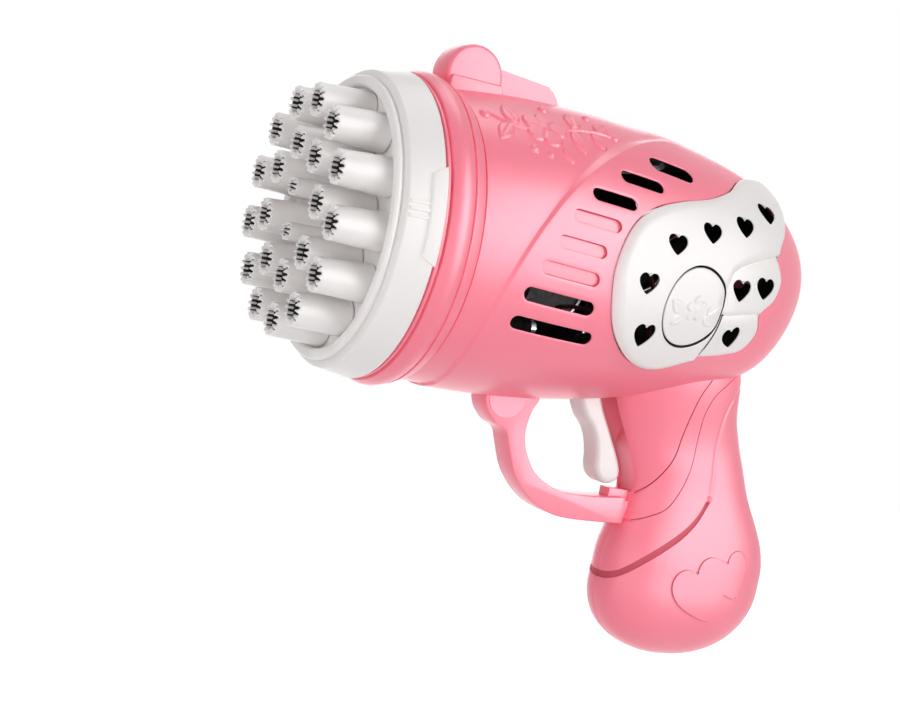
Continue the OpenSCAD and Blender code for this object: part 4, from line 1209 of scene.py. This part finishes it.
# %% A slot in front for the trigger
ROOM_HALF = 5.4
ROOM_TOP = -30.0
ROOM_BOTTOM = -74.0
ROOM_CORNER = 3.0
ROOM_DEEP = 9.0
ROOM_SHALLOW = 1.0
ROOM_ROWS = [(-1.8, 0, 0), (-0.3, 0, 0), (-0.06, 0, -0.01), (0, 0, -0.04), (0, 0, -1)]


def room_deep(z):
    return ROOM_DEEP - (ROOM_DEEP - ROOM_SHALLOW) * ramp((-46 - z) / 14)


def room_line():
    a = np.linspace(0, math.pi / 2, 11)
    flat, low = ROOM_HALF - ROOM_CORNER, ROOM_BOTTOM + ROOM_CORNER
    y = [np.full(60, ROOM_HALF), flat + ROOM_CORNER * np.cos(a), np.linspace(flat, 0.02, 6)[1:]]
    z = [np.linspace(ROOM_TOP, low, 61)[:-1], low - ROOM_CORNER * np.sin(a), np.full(5, ROOM_BOTTOM)]
    y, z = np.concatenate(y), np.concatenate(z)
    turn = math.pi - np.arcsin((y / grip_wide(z)) ** (SQUARENESS / 2))
    return np.stack([-TURN_R * turn, z], axis=1)


def past_room(y, z):
    over = np.maximum(y - ROOM_HALF + ROOM_CORNER, 0)
    under = np.maximum(ROOM_BOTTOM + ROOM_CORNER - z, 0)
    return np.hypot(over, under) - ROOM_CORNER


print("depth of the trigger's slot at the top and bottom:", room_deep(np.array([ROOM_TOP, ROOM_BOTTOM])))

# %% The two halves of the grip
GRIP_WELLS = [(146, -50), (141, -123.8)]
INSIDE_BODY = 3.0
DOOR_ROOM = 0.9
TRIGGER_ROOM = 0.45
DOOR_SEAT_ROWS = [(1.6, 0.03), (0.5, 0.03), (0.34, -0.08), (0.28, -0.3), (0.28, -2.4)]


def outside_body(x, y, z):
    u, across = along_body(x, z)
    turn = np.degrees(np.arctan2(across, y))
    return np.hypot(y, across) > body_radius(u, turn) - INSIDE_BODY


def on_right_grip(x, z, height):
    return on_grip(x, z, height + grip_relief(x, z, 1), 1)


def grip_half(name, side):
    *grids, spots = grip_sheet(side)
    mid_x, mid_y, mid_z, mid_t = [middles(grid) for grid in grids]
    keep = outside_body(mid_x, mid_y, mid_z)
    if side > 0:
        keep &= inside(mid_x, mid_z, DOOR) < -DOOR_ROOM
        for wx, wz in GRIP_WELLS:
            keep &= np.hypot(mid_x - wx, mid_z - wz) > WELL_ROOM
    else:
        keep &= crisp_room(mid_x, mid_z)
    keep &= low_room(mid_z, mid_t, side)
    keep &= (past_room(mid_y, mid_z) > TRIGGER_ROOM) | (mid_x > grip_mid(mid_z))
    parts = [sheet(name, spots, keep, flip=side > 0)]

    shaded = crisp_lines() if side < 0 else []
    parts += [part for part, *_ in shaded]
    if side > 0:
        parts.append(lip("door_seat", DOOR, on_right_grip, DOOR_SEAT_ROWS))

    def wrapped(t, b, h):
        return round_flush(t, b, h, side)

    line = low_part(side)
    low = strip("low", line, wrapped, LOW_ROWS, low_half(line[:, 1]), ramp(run_of(line) / LOW_FADE))
    edge = room_line()
    deep = room_deep(edge[:, 1])
    end = wrapped(edge[:, 0], edge[:, 1], -deep)
    parts += [low, strip("room", edge, wrapped, ROOM_ROWS, deep=deep)]
    parts.append(sheet("floor", np.array([end, end * [1, 0, 1]]), flip=side < 0))
    shaded.append((low, len(line), GROOVE_WALLS_SHADE))
    # the grip halves get the darker pink of painted shade on their listed rows
    return one_piece(name, parts, (pink_shell, painted_shade_pink), SHELL_CORNER, shaded)


for label, side in SIDES:
    finish_piece(grip_half("housing_grip_" + label, side), None, "gun", "pink_plastic", "housing_" + label)

# %% [markdown]
# ## The battery door
# The right side of the grip opens for the cells. The door is the same skin, cut
# out along the door's outline, with its own rounded edge and a hole for its screw.
# It rides on its own body, so it can come off.

# %% Battery door
SCREW_UP = 7.2
DOOR_SCREW = (DOOR_AT[0] - SCREW_UP * math.sin(DOOR_LEAN), DOOR_AT[1] + SCREW_UP * math.cos(DOOR_LEAN))
SCREW_HOLE_R = 2.5
HOLE_ROOM = 0.5
DOOR_BAND = 0.5
HOLE_STEPS = 48
DOOR_EDGE_ROWS = [(-1.2, 0.03), (-0.3, 0.03), (-0.12, -0.06), (-0.03, -0.25), (-0.03, -1.9), (-2.0, -1.9)]
HOLE_ROWS = [(0.9, 0.03), (0.25, 0.03), (0.08, -0.08), (0.0, -0.3), (0.0, -2.6)]


def battery_door(name):
    x, _, z, _, spots = grip_sheet(1)
    mid_x, mid_z = middles(x), middles(z)
    keep = inside(mid_x, mid_z, DOOR) > DOOR_BAND
    keep &= np.hypot(mid_x - DOOR_SCREW[0], mid_z - DOOR_SCREW[1]) > SCREW_HOLE_R + HOLE_ROOM
    parts = [sheet(name, spots, keep, flip=True)]
    parts.append(lip("door_edge", DOOR, on_right_grip, DOOR_EDGE_ROWS))
    parts.append(lip("screw_hole", ring_line(DOOR_SCREW, SCREW_HOLE_R, HOLE_STEPS), on_right_grip, HOLE_ROWS))
    piece = join(name, parts)
    merge_close(piece)
    smooth_all(piece)
    return piece


finish_piece(battery_door("grip_door"), pink, "door", "pink_plastic", "battery_door")

# %% [markdown]
# ## Screw wells on the right side
# The halves are screwed together from the right. Each screw sits at the bottom of
# a deep well with a soft lip, so a ring follows the skin round the hole and then
# runs straight in. The screws themselves are the mechanical model's own.

# %% Screw wells
SCREW_SEAT = 4.0
SEAT_HOLE_R = 1.2
WELL_LIP = [(WELL_R + 1.3, 0.03), (WELL_R + 0.35, 0.05), (WELL_R + 0.12, -0.02), (WELL_R, -0.3)]
WELL_CORNER = 50.0


def body_y(x, z):
    u, across = along_body(x, z)
    r = body_radius(u, 0 * u)
    for _ in range(4):
        turn = np.degrees(np.arcsin(np.clip(across / r, -0.99, 0.99)))
        r = body_radius(u, turn) + body_relief(u, turn)
    return r * np.cos(np.radians(turn))


def grip_y(x, z):
    return on_right_grip(x, z, 0.0)[..., 1] / MM


def screw_well(x, z, skin_y):
    rings = []
    for r, lift in WELL_LIP:
        wx, wz = ring_line((x, z), r, HOLE_STEPS).T
        rings.append(in_hand(wx, skin_y(wx, wz) + lift, wz))
    for r in (WELL_R, SEAT_HOLE_R):
        wx, wz = ring_line((x, z), r, HOLE_STEPS).T
        rings.append(in_hand(wx, SCREW_SEAT, wz))
    return band("well", rings, flip=True)


wells = [screw_well(x, z, body_y) for x, z in BODY_WELLS]
wells += [screw_well(x, z, grip_y) for x, z in GRIP_WELLS]
well_piece = join("screw_wells", wells)
smooth_soft_edges(well_piece, WELL_CORNER)
finish_piece(well_piece, pink, "gun", "pink_plastic")

# %% [markdown]
# ## Turned rings: bezel and collar
# The pink bezel and the white collar are round, so each is a profile spun about
# the barrel's axis. Spin is the natural tool: draw half of the section once, with
# soft corners, and turn it. The seam is merged and the faces are turned outwards.

# %% Spin a profile about the barrel
SPIN_STEPS = 192
SPIN_GAP = 1e-7


def soft_corners(points, r, steps=4):
    p = np.array(points, float)
    line = [p[0]]
    for a, b, c in zip(p[:-2], p[1:-1], p[2:]):
        one, two = a - b, c - b
        cut = min(r, 0.45 * np.linalg.norm(one), 0.45 * np.linalg.norm(two))
        start, end = b + one / np.linalg.norm(one) * cut, b + two / np.linalg.norm(two) * cut
        for i in range(steps + 1):
            t = i / steps
            line.append((1 - t) ** 2 * start + 2 * t * (1 - t) * b + t * t * end)
    return line + [p[-1]]


def spun(name, profile):
    r, x = np.array(profile).T
    piece = new_piece(name, in_hand(x, 0.0, r), [], [(i, i + 1) for i in range(len(x) - 1)])
    start_edit(piece)
    middle = tuple(in_hand(0.0, 0.0, 0.0))
    bpy.ops.mesh.spin(steps=SPIN_STEPS, angle=2 * math.pi, center=middle, axis=(1, 0, 0))
    bpy.ops.mesh.select_all(action="SELECT")
    bpy.ops.mesh.remove_doubles(threshold=SPIN_GAP)
    bpy.ops.mesh.normals_make_consistent(inside=False)
    end_edit()
    return piece


# %% Front bezel
BEZEL_CORNER = 35.0
bulge = [(49.1 + 1.2 * math.sin(math.pi * i / 10), 2.3 + 0.73 * i) for i in range(11)]
bezel_line = [(46.1, 0.5), (47.4, 0.5), (48.4, 0.8), (48.4, 1.7), (47.8, 1.9), (47.8, 2.2)] + bulge
bezel_line += [(48.6, 9.7), (48.6, 9.9), (49.2, 10.2), (47.7, 13.8), (47.4, 13.95), (46.4, 14.0),
               (46.4, 14.9), (46.1, 14.9), (46.1, 0.5)]
bezel = spun("bezel_ring", soft_corners(bezel_line, r=0.16))
smooth_soft_edges(bezel, BEZEL_CORNER)
finish_piece(bezel, pink, "gun", "pink_plastic", "front_bezel")

# %% [markdown]
# ## The nozzle collar
# The white collar is a short cone with a rolled lip in front. At its rear edge it
# has one long low tab and a group of three fine ribs where a hand would find its
# place. The cone is spun; the tab and the ribs are small blocks shaped to it.

# %% Nozzle collar
CONE_BACK = (49.0, -0.5)
CONE_FRONT = (47.05, -10.7)
COLLAR_CORNER = 30.0
collar_line = [(43, 6), (46, 6), (46, 0), (48.5, 0), CONE_BACK, CONE_FRONT, (46.6, -11.1), (45.2, -11.2),
               (44.3, -11.3), (44.0, -11.7), (44.4, -12.0), (44.9, -12.4), (44.9, -13.3), (44.3, -14),
               (42, -14), (41.2, -13.3), (41.2, -10.4), (43, -10.4), (43, 6)]
collar = spun("collar_cone", soft_corners(collar_line, r=0.3))
smooth_soft_edges(collar, COLLAR_CORNER)

# %% Tab and ribs on the collar
PAD_FOOT = -0.8
PAD_END = 0.12
PAD_R = 48.0
TAB_AT = 5.0
RIBS_AT = TAB_AT + 1.2
RIB_APART = 2.5
PAD_CORNER = 40.0


def cone_r(x):
    share = (CONE_BACK[1] - x) / (CONE_BACK[1] - CONE_FRONT[1])
    return CONE_BACK[0] - (CONE_BACK[0] - CONE_FRONT[0]) * share


def pad(angle, wide, from_x, to_x, high, slant):
    count = 2 * max(6, int(wide)) + 1
    edge = [(0.0, PAD_FOOT), (0.0, high - 0.25), (0.2, high - 0.05), (0.5, high)]
    rows = [(from_x - d, lift) for d, lift in edge] + [(to_x + d, lift) for d, lift in edge[::-1]]
    rings = []
    for x, lift in rows:
        reach = wide / 2 - slant * (from_x - x) / (from_x - to_x)
        flat = np.linspace(PAD_END - reach, reach - PAD_END, count)
        across = np.concatenate([[-reach, -reach], flat, [reach, reach]])
        side = min(lift, high - 0.2)
        r = cone_r(x) + np.concatenate([[PAD_FOOT, side], np.full(count, lift), [side, PAD_FOOT]])
        a = math.radians(angle) + across / PAD_R
        rings.append(in_hand(x, -r * np.cos(a), r * np.sin(a)))
    return sheet("pad", np.array(rings), flip=True)


pads = [pad(TAB_AT, wide=29.0, from_x=0.1, to_x=-4.4, high=1.0, slant=2.4)]
for k in (-1, 0, 1):
    at = RIBS_AT + k * RIB_APART
    pads.append(pad(at, wide=1.15, from_x=-4.2, to_x=-10.4, high=0.5, slant=0.0))
for piece in pads:
    smooth_soft_edges(piece, PAD_CORNER)
collar = join("collar_cone", [collar] + pads)
finish_piece(collar, white, "gun", "white_plastic", "nozzle_collar")

# %% [markdown]
# ## The bubble tubes
# Twenty-three small tubes make the bubbles. Each is a slightly tapered pipe whose
# inside is ribbed, so that it holds more soap. One tube is modelled from a circle,
# extruded forward, turned in over the rim and pushed back down inside, where every
# second group of points moves inwards as a rib. The rest are copies.

# %% One ribbed tube
TUBE_POINTS = 112
CORE_POINTS = 80
TUBE_BACK = -10.6
TUBE_FRONT = -29.0
FOOT_IN = 1.2
RIM_RING = 7
RIM_SCALLOP = 0.25
RIM_NOTCH = 0.9
# from this ring inwards, and in the gaps between ribs, the tube gets painted shade
SHADE_FROM_RING = 11
SHADE_GAP_WAVE = 0.3
TUBE_CORNER = 38.0


def pipe(name, base_r, tip_r, bore_r, ribs, rib_deep, count):
    deselect()
    now = base_r - FOOT_IN
    bpy.ops.mesh.primitive_circle_add(vertices=count, radius=now * MM)
    piece = bpy.context.view_layer.objects.active
    piece.name = name
    start_edit(piece)
    length = TUBE_BACK - TUBE_FRONT
    moves = [(0.15, base_r - 0.6), (0.45, base_r - 0.15), (0.7, base_r), (length - 3.7, tip_r + 0.05),
             (2.1, tip_r), (0.2, tip_r - 0.1), (0.1, tip_r - 0.25), (0.0, bore_r + 0.2),
             (-0.15, bore_r + 0.04), (-0.35, bore_r), (-1.7, bore_r), (3.8 - length, bore_r - 0.15)]
    for rise, r in moves:
        bpy.ops.mesh.extrude_edges_move(TRANSFORM_OT_translate={"value": (0, 0, rise * MM)})
        bpy.ops.transform.resize(value=(r / now, r / now, 1))
        now = r
    end_edit()

    def wave(at):
        return 0.5 + 0.5 * math.cos(ribs * math.atan2(at.y, at.x))

    for v in piece.data.vertices:
        ring = v.index // count
        tooth = min(1.0, max(0.0, (wave(v.co) - 0.4) / 0.2))
        far = math.hypot(v.co.x, v.co.y)
        deep = rib_deep * tooth if ring >= RIM_RING + 1 else 0.0
        if ring in (RIM_RING - 1, RIM_RING):
            deep = RIM_SCALLOP * (1 - tooth)
        if RIM_RING - 2 <= ring <= RIM_RING + 3:
            v.co.z -= RIM_NOTCH * MM * (1 - tooth)
        v.co.x *= 1 - deep * MM / far
        v.co.y *= 1 - deep * MM / far
    paint(piece, white, painted_shade_dark)
    # painted shade: faces deep inside the tube and in the gaps between its ribs get the dark finish
    for face in piece.data.polygons:
        ring = min(face.vertices) // count
        in_shaded_gap = ring > RIM_RING and wave(face.center) < SHADE_GAP_WAVE
        face.material_index = 1 if ring >= SHADE_FROM_RING or in_shaded_gap else 0
    piece.data.transform(Matrix.Rotation(-math.pi / 2, 4, "Y"))
    return piece


def tube_copy(model, y, z, spin):
    copy = model.copy()
    copy.data = model.data.copy()
    bpy.context.scene.collection.objects.link(copy)
    at = in_hand(TUBE_BACK, y, z)
    copy.data.transform(Matrix.Translation(at) @ Matrix.Rotation(spin, 4, "X"))
    return copy


# %% All the tubes
outer_pipe = pipe("pipe", base_r=6.1, tip_r=5.3, bore_r=4.45, ribs=14, rib_deep=1.25, count=TUBE_POINTS)
core_pipe = pipe("core_pipe", base_r=3.05, tip_r=2.9, bore_r=2.3, ribs=10, rib_deep=0.6, count=CORE_POINTS)
TUBE_RINGS = [(13, -5, 34.4, outer_pipe), (8, 7, 20.8, outer_pipe), (2, 95, 7.0, core_pipe)]
tubes = []
for count, first, r, model in TUBE_RINGS:
    for i in range(count):
        a = math.radians(first + 360 * i / count)
        tubes.append(tube_copy(model, -r * math.cos(a), r * math.sin(a), a))
for model in (outer_pipe, core_pipe):
    bpy.data.objects.remove(model)
tube_piece = join("ribbed_tubes", tubes)
face_outwards(tube_piece)
smooth_soft_edges(tube_piece, TUBE_CORNER)
finish_piece(tube_piece, None, "gun", "white_plastic", "bubble_tubes")

# %% [markdown]
# ## Plates with rounded edges: crest, guard and trigger
# The crest on top, the guard bar and the trigger are flat shapes seen from the
# side, with rounded edges. Each starts as one face, is extruded to its width, and
# gets a bevel. The bevel is a modifier that is applied at once, because its
# width is the only thing that differs from piece to piece.

# %% A plate from its side view
PLATE_CORNER = 32.0


def plate(name, outline, half, bevel, segments=4, corner=30.0):
    x, z = np.array(outline, float).T
    piece = new_piece(name, in_hand(x, -half, z), [list(range(len(x)))])
    start_edit(piece)
    bpy.ops.mesh.extrude_region_move(TRANSFORM_OT_translate={"value": (0, 2 * half * MM, 0)})
    bpy.ops.mesh.select_all(action="SELECT")
    bpy.ops.mesh.normals_make_consistent(inside=False)
    end_edit()
    round_off = piece.modifiers.new("edges", "BEVEL")
    round_off.width = bevel * MM
    round_off.segments = segments
    round_off.limit_method = "ANGLE"
    round_off.angle_limit = math.radians(corner)
    round_off.use_clamp_overlap = True
    bpy.ops.object.modifier_apply(modifier=round_off.name)
    smooth_soft_edges(piece, PLATE_CORNER)
    return piece


# %% Crest
HUMP_AT = (23.6, 52.4)
HUMP_R = 10.0
round_top = np.radians(np.arange(-20, 201, 4))
hump_line = np.array(HUMP_AT) + HUMP_R * np.stack([np.cos(round_top), np.sin(round_top)], axis=1)
hump_line = np.vstack([hump_line, [(14.4, 44), (32.8, 44)]])
fin_line = curve([(23.6, 57.2), (49.3, 54.9), (51.2, 54.4), (53, 53.3), (54.4, 51.7), (55.6, 49.7)], 5, False)
fin_line = np.vstack([fin_line, [(56.5, 46), (23.6, 44)]])
foot_line = [(14.6, 43), (14.6, 50.2), (15.2, 51.2), (33, 51.2), (33.6, 50.2), (33.6, 43)]
crest = join("crest_hump", [plate("hump", hump_line, half=6.0, bevel=1.3, segments=3),
                            plate("fin", fin_line, half=5.4, bevel=0.9, segments=4),
                            plate("foot", foot_line, half=7.6, bevel=0.5, segments=3)])
finish_piece(crest, pink, "gun", "pink_plastic", "top_crest")

# %% Guard bar
guard_out = curve([(48, -40), (48.6, -50), (53, -55.8), (58, -58.4), (60, -63), (64, -72), (70.4, -78.9),
                   (78, -83.2), (88, -85.2), (110.4, -85)], 7, False)
guard_in = curve([(109.8, -75.6), (96, -76.6), (83, -76), (73.2, -71.6), (68, -65.4), (65.8, -59),
                  (66.4, -52), (69, -46), (70, -40)], 7, False)
guard_line = np.vstack([guard_out, guard_in])
disc_line = ring_line((56.2, -47.4), 6.8, 64)
stop_line = [(104, -78), (104, -73.2), (118, -73.2), (118, -78)]
tenon_line = [(104, -76.8), (104, -84), (118, -84), (118, -76.8)]
guard_bar = plate("guard", guard_line, half=5.5, bevel=0.7, segments=2, corner=50)
disc_plate = plate("disc", disc_line, half=5.85, bevel=0.08, segments=1, corner=50)
stop = plate("stop", stop_line, half=3.2, bevel=0.3, segments=2)
tenon = plate("tenon", tenon_line, half=4.4, bevel=0.3, segments=2)
guard = join("guard_bar", [guard_bar, disc_plate, stop, tenon])
finish_piece(guard, pink, "gun", "pink_plastic", "trigger_guard")

# %% Trigger
PIVOT = (85.0, -33.0)
TRIGGER_LONG = 42.6
TRIGGER_LEAN = math.radians(22)
TRIGGER_HALF = 5.0
HUB_R = 3.5
blade = curve([(4.3, 0.1), (4.2, 0.26), (3.4, 0.4), (1.6, 0.5), (1, 0.61), (1.6, 0.73), (2.7, 0.83),
               (2.2, 0.92), (-0.2, 0.985), (-3.6, 1), (-6.3, 0.96), (-7, 0.85), (-5.8, 0.62),
               (-4.2, 0.36), (-3.9, 0.1)], 5)
blade_line = leaned(blade * [-1, -TRIGGER_LONG], TRIGGER_LEAN, PIVOT)
trigger_blade = plate("blade", blade_line, TRIGGER_HALF, bevel=2.4, segments=6, corner=50)
hub = plate("hub", ring_line(PIVOT, HUB_R, 48), TRIGGER_HALF, bevel=0.5, segments=3, corner=50)
trigger = join("finger_trigger", [trigger_blade, hub])
# the trigger gets the painted-shade copy of the white
finish_piece(trigger, painted_shade_white, "trigger", "white_plastic", "trigger")

# %% [markdown]
# ## The pieces that stay as they are
# Behind the slots and in the grip sit the fan, the motor, the switch, the cells
# and the wiring. Their shapes come from the mechanical model and are right, so
# they only get their finishes.

# %% Finishes for the mechanical pieces
KEPT = {"nozzle_plate": white, "trigger_pin": steel, "trigger_spring": steel, "switch_body": dark,
        "switch_plunger": dark, "fan_bulkhead": dark, "motor_bracket": dark, "motor": motor_can,
        "motor_shaft": steel, "impeller": dark, "battery_tray": dark, "battery_cells": cell_wrap,
        "battery_contacts": steel, "door_screw": steel, "housing_screws": steel, "bracket_screws": steel,
        "wiring": wire_rubber}
for name, finish in KEPT.items():
    paint(nodes[name], finish)
print("kept CAD nodes:", len(KEPT))

# %% [markdown]
# ## Floor and light
# A product picture has a plain pale floor, soft light and a white background. The
# floor lies well below, so the blower hangs free as in the hand. The white behind
# it is only what the camera and shiny surfaces see; it adds no light. Five lamps
# light the form, and a sixth, the sheen, shows only as a soft glint on the gloss.

# %% Floor and world
FLOOR_Z = -0.34
FLOOR_SIZE = 6.0
FLOOR_GREY = (0.8, 0.8, 0.8, 1)
FLOOR_ROUGH = 0.9
WORLD_LIGHT = 0.12
BACK_WHITE = (1, 1, 1, 1)


def white_to_camera(tree, link):
    rays = tree.new("ShaderNodeLightPath")
    seen = rays.outputs["Is Camera Ray"]
    for kind in ("Is Glossy Ray", "Is Transmission Ray"):
        larger = tree.new("ShaderNodeMath")
        larger.operation = "MAXIMUM"
        link(seen, larger.inputs[0])
        link(rays.outputs[kind], larger.inputs[1])
        seen = larger.outputs["Value"]
    return seen


bpy.ops.mesh.primitive_plane_add(size=FLOOR_SIZE, location=(0, 0, FLOOR_Z))
floor = bpy.context.view_layer.objects.active
floor.name = "studio_floor"
floor_paint = bpy.data.materials.new("floor_paint")
floor_paint.use_nodes = True
tree, link = floor_paint.node_tree.nodes, floor_paint.node_tree.links.new
tree["Principled BSDF"].inputs["Base Color"].default_value = FLOOR_GREY
tree["Principled BSDF"].inputs["Roughness"].default_value = FLOOR_ROUGH
glow = tree.new("ShaderNodeEmission")
link(white_to_camera(tree, link), glow.inputs["Strength"])
total = tree.new("ShaderNodeAddShader")
link(tree["Principled BSDF"].outputs["BSDF"], total.inputs[0])
link(glow.outputs["Emission"], total.inputs[1])
link(total.outputs["Shader"], tree["Material Output"].inputs["Surface"])
glow.inputs["Color"].default_value = BACK_WHITE
floor.data.materials.append(floor_paint)

world = bpy.data.worlds.new("studio")
bpy.context.scene.world = world
world.use_nodes = True
tree, link = world.node_tree.nodes, world.node_tree.links.new
around = tree["Background"]
around.inputs["Color"].default_value = BACK_WHITE
around.inputs["Strength"].default_value = WORLD_LIGHT
behind = tree.new("ShaderNodeBackground")
behind.inputs["Color"].default_value = BACK_WHITE
either = tree.new("ShaderNodeMixShader")
link(white_to_camera(tree, link), either.inputs["Fac"])
link(around.outputs["Background"], either.inputs[1])
link(behind.outputs["Background"], either.inputs[2])
link(either.outputs["Shader"], tree["World Output"].inputs["Surface"])
print("floor at", floor.location.z)


# %% Lamps
LAMP_AIM = Vector((-0.05, 0.0, 0.03))


def lamp(name, way, far, size, watts):
    light = bpy.data.lights.new(name, "AREA")
    light.shape = "DISK"
    light.size = size
    light.energy = watts
    holder = bpy.data.objects.new(name, light)
    bpy.context.scene.collection.objects.link(holder)
    way = Vector(way).normalized()
    holder.location = LAMP_AIM + way * far
    holder.rotation_euler = way.to_track_quat("Z", "Y").to_euler()
    return holder


lamp("key", (0.46, -0.86, 0.3), far=0.9, size=0.7, watts=3.8)
lamp("fill", (-0.7, -0.7, -0.25), far=1.0, size=1.0, watts=4.9)
lamp("front", (-0.95, -0.3, 0.35), far=1.0, size=0.8, watts=2.3)
lamp("top", (0.1, 0.2, 1.0), far=1.0, size=0.6, watts=3.1)
sheen = lamp("sheen", (0.46, -0.86, 0.21), far=0.9, size=1.3, watts=34.0)
sheen.visible_diffuse = False
lamp("far_side", (0.3, 0.9, 0.15), far=1.0, size=1.0, watts=5.0)
print("lamps:", len(bpy.data.lights))

# %% [markdown]
# ## The camera
# The picture looks at the left side from a little in front and almost level, and
# the blower is held with its nozzle raised, so the camera is rolled. The lens is a
# short telephoto, close enough that the nozzle looks bigger than the back.

# %% Camera
AZIMUTH = math.radians(-27.536)
RISE = math.radians(2.0)
ROLL = math.radians(10.158)
FAR = 504.6
LOOK_RIGHT = 24.45
LOOK_DOWN = 40.80
LENS = 64.0
SENSOR = 36.0
toward = np.array([math.sin(AZIMUTH) * math.cos(RISE), -math.cos(AZIMUTH) * math.cos(RISE), math.sin(RISE)])
right = np.array([math.cos(AZIMUTH), math.sin(AZIMUTH), 0.0])
up = np.cross(right, -toward)
right, up = math.cos(ROLL) * right + math.sin(ROLL) * up, math.cos(ROLL) * up - math.sin(ROLL) * right
spot = toward * FAR + right * LOOK_RIGHT - up * LOOK_DOWN
lens = bpy.data.cameras.new("photo_camera")
lens.lens = LENS
lens.sensor_width = SENSOR
lens.clip_start = 0.01
camera = bpy.data.objects.new("photo_camera", lens)
bpy.context.scene.collection.objects.link(camera)
pose = Matrix((right, up, toward)).transposed().to_4x4()
pose.translation = Vector(in_hand(*spot))
camera.matrix_world = pose
bpy.context.scene.camera = camera
bpy.context.scene.view_settings.view_transform = "Standard"
print("camera at", [round(c, 3) for c in camera.location])

# %% Update the scene
bpy.context.view_layer.update()
